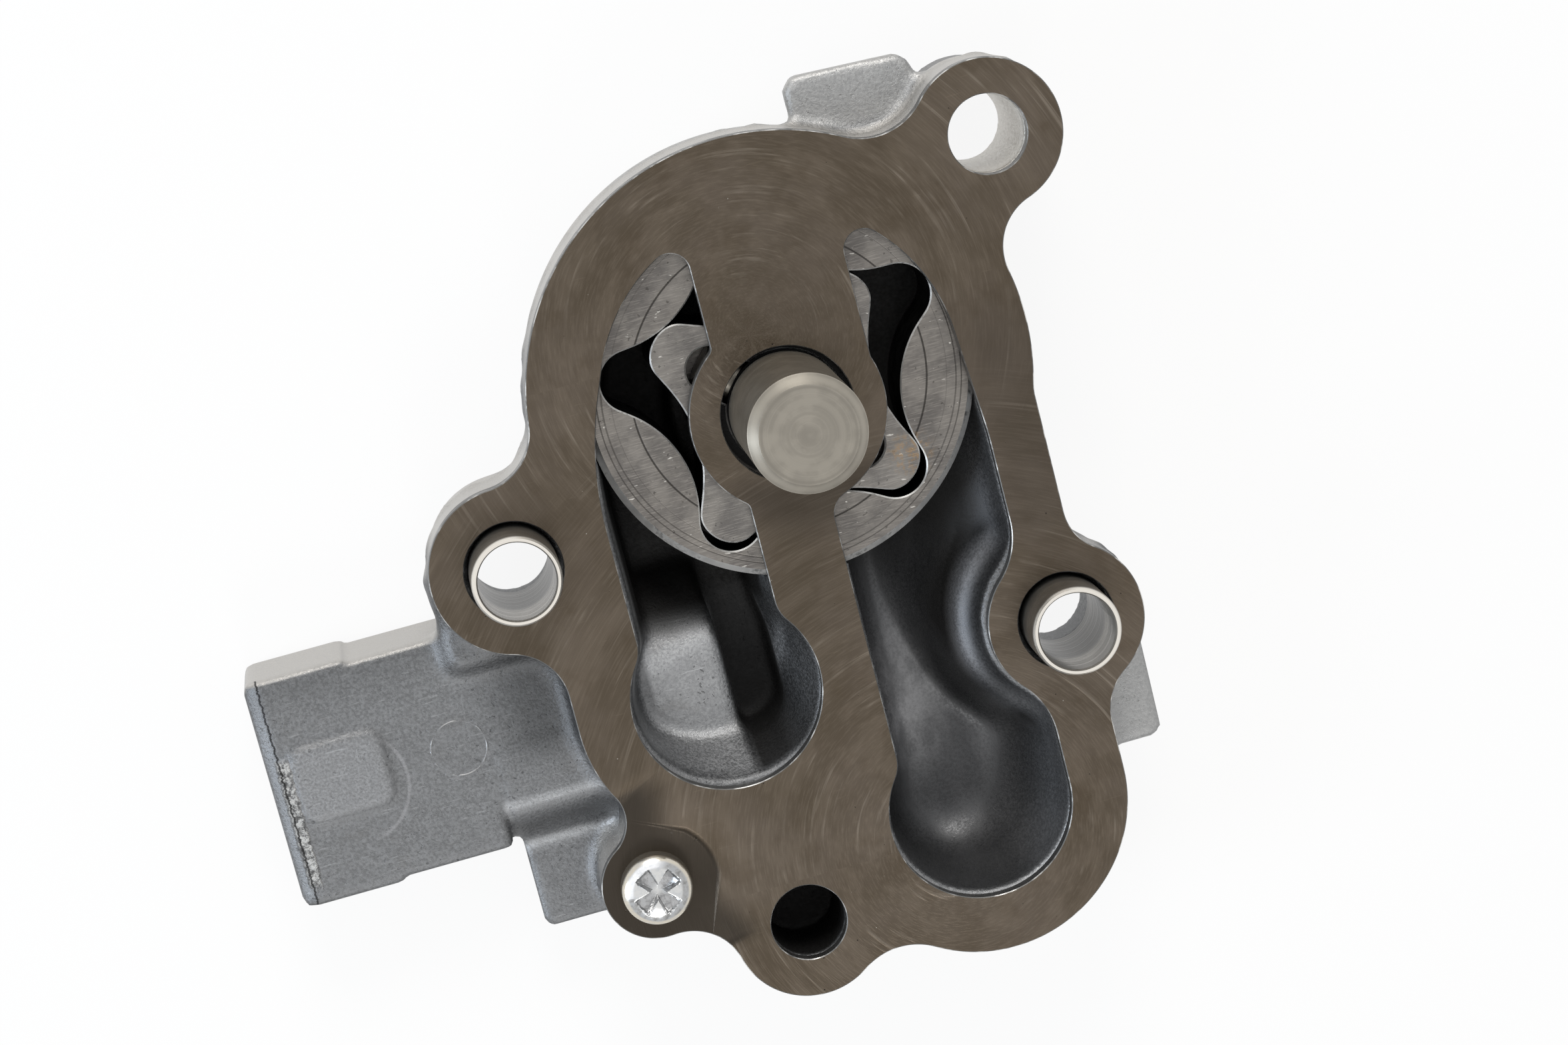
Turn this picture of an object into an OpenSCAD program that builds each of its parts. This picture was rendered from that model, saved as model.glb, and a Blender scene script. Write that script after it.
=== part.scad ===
// Engine oil pump: a gerotor stage in a die-cast body under a ground steel cover plate.
// Millimetres. The origin is on the shaft's axis at the front face of the cover plate.
// +Z points out of that face and +Y from the shaft towards the outer rotor's centre.

/* [Rotors] */
// Distance between the shaft's axis and the outer rotor's axis
eccentricity = 3.02; // [2.7:0.01:3.3]
// Distance from the shaft's axis to the tips of the inner rotor's lobes
lobe_tip_r = 16.47; // [16.2:0.01:16.8]
// Radius of the outer rotor's round teeth
tooth_r = 12.45; // [12.2:0.05:12.8]
// Wall of the outer rotor behind its pockets
rim_t = 2.03; // [1.8:0.01:3]
// Thickness of both rotors
rotor_t = 10; // [7:0.5:10.5]
// Gap between the two rotor profiles
tip_gap = 0.1; // [0.06:0.01:0.16]
// Extra depth of the outer rotor's pockets
pocket_gap = 0.28; // [0.2:0.01:0.4]
// Angle of the inner rotor as it stands
rotor_phase = 3.4; // [0:0.1:90]
// Radius of the fine ring turned into the outer rotor's face
scribe_r = 16.45; // [15:0.05:18.5]
// Width and depth of that ring
scribe_w = 0.3; // [0.2:0.05:0.5]
// Chamfer round the outer rotor
rotor_chamfer = 0.7; // [0.2:0.1:1]

/* [Shaft] */
// Diameter of the shaft
shaft_d = 13; // [11:0.1:13.6]
// Reach of the shaft's journal in front of the cover plate
journal_len = 18.8; // [12:0.1:25]
// Chamfer on the journal's end
journal_chamfer = 1.1; // [0.5:0.1:2]
// Depth of the relief groove where the shaft passes the cover plate
relief_depth = 0.3; // [0.2:0.1:0.6]
// How far the slotted rear end stays inside the rear bore
rear_inset = 1; // [0.5:0.1:2]
// Width of the drive slot in the rear end
drive_slot_w = 4; // [3:0.1:5]
// Depth of the drive slot
drive_slot_depth = 4; // [2:0.1:4.5]
// Diameter of the pin that drives the inner rotor
pin_d = 5; // [4:0.1:5.5]
// Length of that pin
pin_len = 21; // [18:0.1:22]
// Distance from each end of the pin to the end of its slot
pin_end_gap = 1.6; // [1.5:0.1:2]

/* [Cover plate] */
// Thickness of the cover plate
plate_t = 1.6; // [1.2:0.1:3]
// Diameter of the clearance hole round the shaft
hub_hole_d = 15; // [14.6:0.1:16]
// Width of the ring round that hole
hub_ring_w = 3.5; // [3:0.1:4.5]
// How far the hub sits below the shaft's axis
hub_drop = 0.45; // [0:0.05:0.5]
// Outer radius of the two windows round the rotors
window_r = 20; // [19.5:0.1:20.5]
// Left edge of the web above the hub
web_left = -6.5; // [-7.5:0.1:-5.5]
// Right edge of the web above the hub
web_right = 10.35; // [9.5:0.1:10.6]
// Left edge of the strut below the hub
strut_left = -6.7; // [-8:0.1:-6]
// Right edge of the strut below the hub
strut_right = 2.1; // [1:0.1:3]
// Radius of the upper tip of each window
tip_r = 2.2; // [1.5:0.1:3]
// Radius on the corners of the windows
corner_r = 4; // [3:0.1:4.5]
// Radius where the left window's edges meet the hub
hub_corner_r = 1; // [0.6:0.1:1.4]
// Radius where the web's right edge meets the hub
web_corner_r = 0.8; // [0.6:0.1:1.2]
// Radius where the strut's right edge meets the hub
strut_corner_r = 2.7; // [2:0.1:3.2]
// Radius of the right window's bulges above and below the right ear
bulge_r = 8.9; // [8:0.1:9.8]
// Radius of the long curve along the windows beside the rotors
sweep_r = 40; // [36:1:46]
// Left edge of the left window
left_edge = -22.6; // [-23:0.1:-22]
// Centre of the left window's round end
left_end_at = [-14.5, -29.2]; // [-60:0.1:60]
// Radius of the left window's round end
left_end_r = 10.7; // [10:0.1:11.5]
// Right edge of the right window beside the rotors
right_edge = 20.9; // [20.5:0.1:21.5]
// Right edge of the right window above its round end
lower_right_edge = 20.3; // [20:0.1:21]
// Centre of the right window's round end
right_end_at = [9.9, -49.6]; // [-60:0.1:60]
// Radius of the right window's round end
right_end_r = 10.4; // [10:0.1:11]
// Depth of the coined seat under the screw
coin_depth = 0.4; // [0.2:0.1:0.6]
// Radius of the coined seat
coin_r = 6.7; // [6:0.1:7]

/* [Outline] */
// Radius of the outline round the rotors
ring_r = 28.1; // [27:0.1:29]
// Centre of the top ear and its bolt hole
top_ear_at = [28.8, 23.6]; // [-60:0.1:60]
// Radius of the top ear
top_ear_r = 8.4; // [7.5:0.1:9]
// Centre of the left ear and its dowel
left_ear_at = [-33.6, -9.3]; // [-60:0.1:60]
// Radius of the left ear
left_ear_r = 9.4; // [8.5:0.1:10]
// Centre of the right ear and its dowel
right_ear_at = [24.4, -31.4]; // [-60:0.1:60]
// Radius of the right ear
right_ear_r = 8.9; // [8.5:0.1:10]
// Radius of the outline round the left chamber
left_chamber_r = 16.9; // [16:0.1:17.5]
// Radius of the outline round the right chamber
right_chamber_r = 16.8; // [16:0.1:17.5]
// Centre of the gallery port below the chambers
gallery_at = [-12.1, -57]; // [-60:0.1:60]
// Diameter of the gallery port
gallery_d = 8.6; // [7:0.1:9.5]
// Radius of the boss round the gallery port
gallery_boss_r = 8.6; // [8:0.1:9.5]
// Centre of the cover screw
screw_at = [-27.6, -48.2]; // [-60:0.1:60]
// Radius of the boss round the cover screw
screw_boss_r = 6.1; // [5.5:0.1:6.8]
// Distance of the straight right flank inside the ring's outline
flank_inset = 1.1; // [0.7:0.1:1.6]
// Hollow above the top ear
top_ear_fillet_high = 7.3; // [6:0.1:8]
// Hollow below the top ear
top_ear_fillet_low = 6.2; // [5:0.1:7]
// Hollow above the left ear
left_ear_fillet_high = 6.5; // [5.5:0.1:7.5]
// Hollow below the left ear
left_ear_fillet_low = 6.5; // [5.5:0.1:7.5]
// Hollow above the boss of the cover screw
screw_fillet_high = 4.6; // [4:0.1:5.5]
// Hollow below the boss of the cover screw
screw_fillet_low = 6.3; // [5.5:0.1:7]
// Hollow between the gallery port and the right chamber
gallery_fillet = 7.5; // [6.5:0.1:8.5]
// Hollow below the right ear
right_ear_fillet_low = 6.6; // [5.8:0.1:7.4]
// Hollow above the right ear
right_ear_fillet_high = 5.7; // [5:0.1:6.5]
// Hollow where the right flank leaves the ring
flank_fillet = 6; // [5:0.1:7]

/* [Fasteners] */
// Diameter of the bolt hole in the top ear
bolt_hole_d = 8.8; // [8.4:0.1:9]
// Outer diameter of the hollow dowels
dowel_d = 10; // [9.6:0.1:10.6]
// Bore of the hollow dowels
dowel_bore = 8.6; // [8.2:0.1:8.8]
// Reach of the dowels in front of the cover plate
dowel_front = 6.5; // [4:0.1:8]
// Depth of the dowels behind the cover plate's front face
dowel_rear = 10.5; // [8:0.1:11]
// Radial gap between a dowel and the cover plate
dowel_gap = 0.5; // [0.3:0.05:0.6]
// Diameter of the bolt hole behind each dowel
dowel_exit_d = 9.2; // [9:0.1:9.4]
// Thread diameter of the cover screw
screw_d = 4; // [3:0.1:5]
// Diameter of the cover screw's pan head
head_d = 8; // [7:0.1:8.6]
// Height of the cover screw's head
head_h = 2.9; // [2:0.1:3.4]
// Length of the cover screw under its head
screw_len = 10; // [8:0.5:11]

/* [Casting] */
// Depth of the die's parting face behind the front of the cover plate
parting_z = 6.7; // [5.5:0.1:8]
// Depth of the casting's rear face
back_z = 19; // [18:0.1:22]
// Depth of the casting between its bosses
shell_z = 13.5; // [12.5:0.1:15]
// Depth of the back of the right ear
right_ear_z = 16.5; // [15:0.1:18]
// Line of flash behind the parting face
flash = 0.1; // [0.1:0.1:0.4]
// Step of the outline at the parting face
parting_step = 0.4; // [0.2:0.1:0.8]
// Depth of the floor of the right chamber
right_floor_z = 15; // [14:0.1:16]
// Depth of the floor of the left chamber
left_floor_z = 16; // [15.4:0.1:17]
// Step from the edge of the plate's windows to the casting's chambers
port_step = 0.3; // [0.1:0.1:0.5]
// Depth of the hump over the relief valve in the left chamber
hump_z = 8.6; // [7:0.1:9.4]
// Width of that hump
hump_w = 16; // [12:0.1:17]
// End of the hump at the deep slot
hump_end = -13.2; // [-14:0.1:-12]
// Thickness of the two side tabs
tab_t = 2.4; // [2:0.1:4]
// Width of the top tab
top_tab_w = 15.7; // [13:0.1:17]
// Reach of the top tab beyond the ring's outline
top_tab_reach = 3.78; // [2:0.01:4.5]
// Reach of the right tab beyond the right chamber's outline
right_tab_reach = 6.4; // [4:0.1:8]
// Length of the right tab
right_tab_len = 11.9; // [10:0.1:13]

/* [Relief valve] */
// Left end face of the relief valve block
block_left = -66.1; // [-70:0.1:-62]
// Height of the block across its axis
block_w = 26; // [24:0.1:28]
// Height of the relief valve's axis above the shaft's axis
valve_y = -28.4; // [-30:0.1:-27]
// Raised pad on the block: distance from the block's end
pad_inset = 2.6; // [2:0.1:4]
// Length of the pad along the block
pad_len = 10.6; // [8:0.1:12]
// Width of the pad
pad_w = 9; // [7:0.1:11]
// Distance of the pad's lower edge below the valve's axis
pad_low = 4.3; // [3:0.1:6]
// Height of the pad
pad_h = 0.5; // [0.2:0.1:1]
// Lower step beside the block: reach to the left of the valve's seat
step_reach = 2.6; // [1.5:0.1:4]
// Distance of the step's lower edge below the cover screw's centre
step_low = 4.3; // [3.5:0.1:5]
// Width of the step, up into the block
step_w = 14; // [12:0.1:16]
// Depth of the step's face behind the front of the cover plate
step_z = 11; // [9:0.1:12]
// Diameter of the relief valve's bore
valve_d = 8; // [6:0.1:8.4]
// Diameter of the oil passage from the chamber to the valve
feed_d = 5; // [3:0.1:5.5]
// Place of the valve's seat along the block
seat_x = -38; // [-40:0.1:-36]
// Length of the plunger
plunger_len = 12; // [9:0.1:13]
// Travel of the plunger
plunger_travel = 4; // [2:0.1:5]
// Wall of the plunger
plunger_wall = 1.1; // [0.8:0.1:1.4]
// Wire diameter of the valve spring
wire_d = 1; // [0.8:0.1:1.2]
// Turns of the valve spring
spring_turns = 7; // [5:0.5:8]
// Thickness of the spring seat
spring_seat_t = 2; // [1.5:0.1:3]
// Distance from the block's end face to the snap ring
ring_inset = 2.2; // [1.5:0.1:3.5]
// Thickness of the snap ring
ring_t = 1; // [0.8:0.1:1.4]
// Depth of the snap ring's groove
groove_depth = 0.7; // [0.4:0.1:1]
// Diameter of the relief valve's drain
drain_d = 4; // [3:0.1:5]

/* [Hidden] */
$fn = 96;
eps = 0.01;
// Running clearances, radial and axial
running = 0.04;
face_gap = 0.05;
// Rotor geometry: four lobes in five pockets
lobes = 4;
pockets = lobes + 1;
outer_at = [0, eccentricity];
// Circle on which the centres of the outer rotor's teeth lie
tooth_circle_r = lobe_tip_r - eccentricity + tooth_r;
pocket_root_r = lobe_tip_r + eccentricity + pocket_gap;
outer_rotor_d = 2*(pocket_root_r + rim_t);
half_pitch = 180/pockets;
// Pocket circles touch the teeth, so the profile has no corners
pocket_r = (pow(tooth_circle_r, 2) + pow(pocket_root_r, 2) - pow(tooth_r, 2)
            - 2*tooth_circle_r*pocket_root_r*cos(half_pitch))
           /(2*(pocket_root_r + tooth_r - tooth_circle_r*cos(half_pitch)));
pocket_circle_r = pocket_root_r - pocket_r;
// Teeth stand in mesh with the inner rotor at its present angle
outer_phase = (lobes*rotor_phase + 270)/pockets;
rotor_front = -plate_t - face_gap;
rotor_back = rotor_front - rotor_t;
pocket_back = rotor_back - face_gap;
pin_angle = rotor_phase + 135;
pin_z = rotor_front - pin_d/2 - 0.2;
// Outline
ring_at = [0, eccentricity - 0.3];
hub_at = [0, -hub_drop];
hub_r = hub_hole_d/2 + hub_ring_w;
window_at = [0, eccentricity - 0.7];
dowel_hole_r = dowel_d/2 + dowel_gap;
// Relief valve
valve_z = -(parting_z + back_z)/2;
valve_r = valve_d/2;
ring_x = block_left + ring_inset;
spring_seat_x = ring_x + ring_t;
spring_left = spring_seat_x + spring_seat_t;
plunger_left = seat_x - plunger_len;
spring_right = plunger_left + plunger_len/2;
spring_r = valve_r - plunger_wall - wire_d/2 - 0.25;

// Point at distance r1 from c1 and r2 from c2, left (+1) or right (-1) of the line from c1 to c2
function meet(c1, r1, c2, r2, side) =
    let (d = norm(c2 - c1), u = (c2 - c1)/d,
         a = (r1*r1 - r2*r2 + d*d)/(2*d), h = sqrt(max(0, r1*r1 - a*a)))
    c1 + a*u + side*h*[-u[1], u[0]];

// Outlines are closed chains of [x, y, r] read anticlockwise: r > 0 runs round a boss, r < 0 round
// a hollow. Each arc passes to the next on their common tangent.
function boss(at, r) = [at[0], at[1], r];
// Hollow of radius rf that touches two round bosses
function between(c1, r1, c2, r2, rf) =
    let (p = meet(c1, r1 + rf, c2, r2 + rf, 1)) [p[0], p[1], -rf];
// Arc of radius rf that touches the upright line at x and a boss or hollow c of radius r.
// out is the side of the line on which its centre lies, up the side of c, sign its turn.
function beside(x, c, r, rf, out, up, sign) =
    let (px = x + out*rf) [px, c[1] + up*sqrt(max(0, pow(r + rf, 2) - pow(px - c[0], 2))), sign*rf];

// Direction from an arc's centre to the point where the tangent line to the next arc leaves it
function leave(a, b) =
    let (dx = b[0] - a[0], dy = b[1] - a[1])
    atan2(dy, dx) - acos(max(-1, min(1, (a[2] - b[2])/norm([dx, dy]))));
function turn(a) = let (m = a - 360*floor(a/360)) m > 359.9 ? 0 : m;
function arc(c, from, to, step) =
    let (sweep = c[2] > 0 ? turn(to - from) : -turn(from - to),
         steps = max(1, ceil(abs(sweep)*sqrt(abs(c[2]))/step)))
    [for (i = [0:steps])
        let (t = from + sweep*i/steps) [c[0] + c[2]*cos(t), c[1] + c[2]*sin(t)]];
// Points of a chain that is grown by g all round, each written once.
// step is the turn from point to point, in degrees, on an arc of radius 1.
function trace(chain, g = 0, step = 24) =
    let (n = len(chain), c = [for (k = chain) [k[0], k[1], k[2] + g]],
         p = [for (i = [0:n - 1])
              each arc(c[i], leave(c[(i + n - 1)%n], c[i]), leave(c[i], c[(i + 1)%n]), step)],
         m = len(p))
    [for (i = [0:m - 1]) if (norm(p[i] - p[(i + m - 1)%m]) > 0.02) p[i]];

// Outline of the plate and of the casting's front face
flank_x = ring_at[0] + ring_r - flank_inset;
left_flank_x = left_end_at[0] - left_chamber_r;
lower_flank_x = right_end_at[0] + right_chamber_r;
outline = [
    boss(ring_at, ring_r),
    between(top_ear_at, top_ear_r, ring_at, ring_r, top_ear_fillet_low),
    boss(top_ear_at, top_ear_r),
    between(ring_at, ring_r, top_ear_at, top_ear_r, top_ear_fillet_high),
    boss(ring_at, ring_r),
    between(left_ear_at, left_ear_r, ring_at, ring_r, left_ear_fillet_high),
    boss(left_ear_at, left_ear_r),
    beside(left_flank_x, left_ear_at, left_ear_r, left_ear_fillet_low, -1, -1, -1),
    boss(left_end_at, left_chamber_r),
    between(screw_at, screw_boss_r, left_end_at, left_chamber_r, screw_fillet_high),
    boss(screw_at, screw_boss_r),
    between(gallery_at, gallery_boss_r, screw_at, screw_boss_r, screw_fillet_low),
    boss(gallery_at, gallery_boss_r),
    between(right_end_at, right_chamber_r, gallery_at, gallery_boss_r, gallery_fillet),
    boss(right_end_at, right_chamber_r),
    beside(lower_flank_x, right_ear_at, right_ear_r, right_ear_fillet_low, 1, -1, -1),
    boss(right_ear_at, right_ear_r),
    beside(flank_x, right_ear_at, right_ear_r, right_ear_fillet_high, 1, 1, -1),
    beside(flank_x, ring_at, ring_r, flank_fillet, 1, -1, -1)];

// Tip of a window beside the web at x
function tip(x, side) = let (px = x + side*tip_r)
    [px, window_at[1] + sqrt(pow(window_r - tip_r, 2) - pow(px - window_at[0], 2)), tip_r];

// Window over the left chamber
left_window = [
    tip(web_left, -1),
    boss(window_at, window_r),
    [left_edge + sweep_r, -8, sweep_r],
    beside(left_edge, left_end_at, left_end_r, corner_r, -1, 1, -1),
    boss(left_end_at, left_end_r),
    beside(strut_left, left_end_at, left_end_r, corner_r, 1, 1, -1),
    beside(strut_left, hub_at, hub_r, hub_corner_r, -1, -1, 1),
    boss(hub_at, -hub_r),
    beside(web_left, hub_at, hub_r, hub_corner_r, -1, 1, 1)];

// Window over the right chamber
right_window = [
    tip(web_right, 1),
    beside(web_right, hub_at, hub_r, web_corner_r, 1, 1, 1),
    boss(hub_at, -hub_r),
    beside(strut_right, hub_at, hub_r, strut_corner_r, 1, -1, 1),
    beside(strut_right, right_end_at, right_end_r, corner_r, -1, 1, -1),
    boss(right_end_at, right_end_r),
    beside(lower_right_edge, right_ear_at, right_ear_r, bulge_r, -1, -1, 1),
    boss(right_ear_at, -right_ear_r),
    beside(right_edge, right_ear_at, right_ear_r, bulge_r, -1, 1, 1),
    [right_edge - sweep_r, -10, sweep_r],
    boss(window_at, window_r)];

// Coined seat of the screw, open to the edge of the plate
coin = [
    boss(screw_at, coin_r),
    [screw_at[0] - 9, screw_at[1] + 16, 0.5],
    [screw_at[0] - 17, screw_at[1] + 6, 2],
    [screw_at[0] - 16, screw_at[1] - 10, 2],
    [screw_at[0] + 5, screw_at[1] - 16, 0.5]];

module cover_plate() {
    color([0.34, 0.31, 0.27])
    difference() {
        translate([0, 0, -plate_t]) linear_extrude(plate_t) polygon(trace(outline));
        translate([0, 0, -plate_t - 1]) linear_extrude(plate_t + 2) polygon(trace(left_window));
        translate([0, 0, -plate_t - 1]) linear_extrude(plate_t + 2) polygon(trace(right_window));
        translate([hub_at[0], hub_at[1], -plate_t - 1]) cylinder(d = hub_hole_d, h = plate_t + 2);
        translate([top_ear_at[0], top_ear_at[1], -plate_t - 1])
            cylinder(d = bolt_hole_d, h = plate_t + 2);
        for (at = [left_ear_at, right_ear_at])
            translate([at[0], at[1], -plate_t - 1]) cylinder(r = dowel_hole_r, h = plate_t + 2);
        translate([gallery_at[0], gallery_at[1], -plate_t - 1]) cylinder(d = gallery_d, h = plate_t + 2);
        translate([screw_at[0], screw_at[1], -plate_t - 1]) cylinder(d = screw_d + 0.5, h = plate_t + 2);
        translate([0, 0, -coin_depth]) linear_extrude(coin_depth + 1) polygon(trace(coin));
    }
}

// Cross recess with tapering wings
module cross_recess(depth) {
    for (a = [0, 90])
        rotate(a) intersection() {
            translate([-head_d*0.29, -0.6, -depth]) cube([head_d*0.58, 1.2, depth + 1]);
            translate([0, 0, -depth]) cylinder(r1 = 0.9, r2 = head_d*0.32, h = depth + 1);
        }
}

module cover_screw() {
    dome_r = head_d*0.9;
    color([0.82, 0.82, 0.80])
    translate([screw_at[0], screw_at[1], -coin_depth]) {
        difference() {
            intersection() {
                cylinder(d = head_d, h = head_h);
                translate([0, 0, head_h - dome_r]) sphere(dome_r);
            }
            translate([0, 0, head_h]) rotate(45 - 14.4) cross_recess(head_h*0.6);
        }
        translate([0, 0, -screw_len]) cylinder(d = screw_d - 0.1, h = screw_len + eps);
    }
}

module dowel(at) {
    length = dowel_front + dowel_rear;
    color([0.78, 0.77, 0.74])
    translate([at[0], at[1], -dowel_rear])
    rotate_extrude()
        polygon([[dowel_bore/2, 0.4], [dowel_bore/2 + 0.3, 0], [dowel_d/2 - 0.4, 0], [dowel_d/2, 0.6],
                 [dowel_d/2, length - 0.4], [dowel_d/2 - 0.25, length], [dowel_bore/2 + 0.15, length],
                 [dowel_bore/2, length - 0.3]]);
}

module dowel_left() { dowel(left_ear_at); }
module dowel_right() { dowel(right_ear_at); }

// Hollow of the pressure chamber: a kidney under the rotors, the hump over the relief valve
// and a deep slot between the hump and the strut
module left_chamber() {
    top = left_floor_z - plate_t + eps;
    difference() {
        translate([0, 0, -left_floor_z])
            linear_extrude(top) polygon(trace(left_window, -port_step));
        translate([left_edge - 10, valve_y - hump_w/2, -left_floor_z - 1])
            cube([hump_end - left_edge + 10, hump_w, left_floor_z + 1 - hump_z]);
    }
}

// Hollow of the suction chamber, narrowed by the foot of the dowel's boss
module right_chamber() {
    top = right_floor_z - plate_t + eps;
    difference() {
        translate([0, 0, -right_floor_z])
            linear_extrude(top) polygon(trace(right_window, -port_step));
        translate([right_ear_at[0], right_ear_at[1], -right_floor_z - 1])
            cylinder(r1 = right_ear_r + port_step + 3, r2 = right_ear_r + port_step + 0.2,
                     h = right_floor_z - 4);
    }
}

// Solid of the casting before its hollows are cut
module casting() {
    step = parting_step;
    // front half, from the joint with the cover plate to just behind the parting face
    translate([0, 0, -parting_z - flash])
        linear_extrude(parting_z + flash - plate_t) polygon(trace(outline));
    translate([0, 0, -shell_z])
        linear_extrude(shell_z - parting_z + 1) polygon(trace(outline, -step));
    // deep part behind the rotors and the chambers
    translate([0, 0, -back_z]) {
        deep = back_z - shell_z + 1;
        translate(ring_at) cylinder(r = ring_r - 3*step, h = deep);
        translate(left_end_at) cylinder(r = left_chamber_r - 3*step, h = deep);
        translate(right_end_at) cylinder(r = right_chamber_r - 3*step, h = deep);
        linear_extrude(deep)
            polygon([[left_edge - 3, 0], [left_edge - 3, left_end_at[1]], left_end_at, right_end_at,
                     [flank_x - 2, right_ear_at[1]], [flank_x - 2, 0]]);
    }
    // columns of the bolt holes
    translate([top_ear_at[0], top_ear_at[1], -back_z])
        cylinder(r = top_ear_r - 2*step, h = back_z - parting_z - 1.3);
    translate([right_ear_at[0], right_ear_at[1], -right_ear_z])
        cylinder(r = right_ear_r - 2*step, h = right_ear_z - parting_z - 1.3);
    valve_block();
    side_tabs();
}

// Block that carries the relief valve, with the lower step beside it
module valve_block() {
    half = block_w/2;
    step_left = seat_x - step_reach;
    back = back_z - 0.4;
    translate([block_left, valve_y - half, -back])
        cube([left_end_at[0] - 8 - block_left, block_w, back - parting_z]);
    // raised pad, let 1 mm into the block's face
    translate([block_left + pad_inset, valve_y - pad_low, -parting_z - 1])
        cube([pad_len, pad_w, pad_h + 1]);
    // lower step beside the screw boss
    translate([step_left, screw_at[1] - step_low, -back + 0.4])
        cube([screw_at[0] - step_left, step_w, back - 0.4 - step_z]);
}

// Two flat tabs left where the casting was gated
module side_tabs() {
    // top tab: from the top ear's side to the left, its ends cut off at a slant
    right = top_ear_at[0] - 4.2;
    left = right - top_tab_w;
    top = ring_at[1] + ring_r + top_tab_reach;
    // right tab: from just above the right chamber's centre towards the right ear
    out = lower_flank_x + right_tab_reach;
    low = right_end_at[1] + 0.7;
    high = low + right_tab_len;
    translate([0, 0, -parting_z - tab_t]) linear_extrude(tab_t) {
        polygon([[left, top - 10.6], [right, top - 10.6], [right, top - 3.4], [right - 1.3, top - 2.7],
                 [right - 1.5, top - 1.6], [right - 2.6, top - 0.5], [left + 1.2, top], [left, top - 1.4]]);
        polygon([[out - 11.1, low], [out - 1.1, low], [out - 0.1, low + 1], [out, high],
                 [out - 11.1, high]]);
    }
}

// Bore, feed, ring groove and drain of the relief valve
module valve_hollow() {
    translate([block_left - 1, valve_y, valve_z]) rotate([0, 90, 0])
        cylinder(r = valve_r, h = seat_x - block_left + 1);
    translate([seat_x - 1, valve_y, valve_z]) rotate([0, 90, 0])
        cylinder(d = feed_d, h = hump_end - seat_x + 2);
    translate([ring_x - face_gap, valve_y, valve_z]) rotate([0, 90, 0])
        cylinder(r = valve_r + groove_depth, h = ring_t + face_gap);
    translate([seat_x - plunger_travel, valve_y, -back_z - 1])
        cylinder(d = drain_d, h = back_z + valve_z + 1);
}

module pump_body() {
    color([0.58, 0.58, 0.58])
    difference() {
        casting();
        // rotor pocket and rear bearing
        translate([outer_at[0], outer_at[1], pocket_back])
            cylinder(d = outer_rotor_d + 2*running, h = -pocket_back);
        translate([0, 0, -back_z - 1]) cylinder(d = shaft_d + 2*running, h = back_z);
        left_chamber();
        right_chamber();
        // fasteners
        translate([top_ear_at[0], top_ear_at[1], -back_z - 1])
            cylinder(d = bolt_hole_d, h = back_z + 1);
        for (at = [left_ear_at, right_ear_at]) {
            translate([at[0], at[1], -dowel_rear]) cylinder(d = dowel_d, h = dowel_rear);
            translate([at[0], at[1], -back_z - 1]) cylinder(d = dowel_exit_d, h = back_z);
        }
        translate([gallery_at[0], gallery_at[1], -shell_z + 1.5])
            cylinder(d = gallery_d, h = shell_z);
        translate([screw_at[0], screw_at[1], -coin_depth - screw_len - 0.5])
            cylinder(d = screw_d, h = screw_len + 1);
        valve_hollow();
    }
}

// Profile of the inner rotor: the curve that keeps a tooth's distance from the path of the tooth
// centres
function lobe_point(t) =
    let (p = tooth_circle_r*[cos(t), sin(t)] - eccentricity*[cos(pockets*t), sin(pockets*t)],
         v = tooth_circle_r*[-sin(t), cos(t)]
             - eccentricity*pockets*[-sin(pockets*t), cos(pockets*t)],
         n = [v[1], -v[0]]/norm(v))
    p - (tooth_r + tip_gap/2)*n;

module lobe_profile() {
    steps = 240;
    rotate(rotor_phase) polygon([for (i = [0:steps - 1]) lobe_point(i*360/steps)]);
}

module inner_rotor() {
    slot = pin_len/2 + pin_end_gap;
    slot_r = pin_d/2 + 0.1;
    slot_floor = pin_z - slot_r;
    color([0.50, 0.47, 0.45])
    difference() {
        translate([0, 0, rotor_back]) linear_extrude(rotor_t) lobe_profile();
        translate([0, 0, rotor_back - 1]) cylinder(d = shaft_d + 0.04, h = rotor_t + 2);
        // milled slot with a flat floor and round ends
        translate([0, 0, slot_floor]) rotate(pin_angle) linear_extrude(-slot_floor) {
            translate([-slot + slot_r, -slot_r]) square([2*slot - 2*slot_r, 2*slot_r]);
            for (s = [-1, 1]) translate([s*(slot - slot_r), 0]) circle(slot_r);
        }
    }
}

// Hollow of the outer rotor: five round teeth between five round pockets
function tooth_hollow() = [for (k = [0:2*pockets - 1])
    let (a = k*half_pitch, r = k%2 == 0 ? tooth_circle_r : pocket_circle_r)
    [r*cos(a), r*sin(a), k%2 == 0 ? tip_gap/2 - tooth_r : pocket_r]];

module outer_rotor() {
    r = outer_rotor_d/2;
    c = rotor_chamfer;
    color([0.55, 0.53, 0.50])
    translate([outer_at[0], outer_at[1], rotor_back]) rotate(outer_phase)
    difference() {
        rotate_extrude()
            polygon([[0, 0], [r - c, 0], [r, c], [r, rotor_t - c], [r - c, rotor_t], [0, rotor_t]]);
        translate([0, 0, -1]) linear_extrude(rotor_t + 2) polygon(trace(tooth_hollow(), 0, 10));
        translate([0, 0, rotor_t - scribe_w/2]) difference() {
            cylinder(r = scribe_r + scribe_w/2, h = 1);
            translate([0, 0, -1]) cylinder(r = scribe_r - scribe_w/2, h = 3);
        }
    }
}

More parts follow.
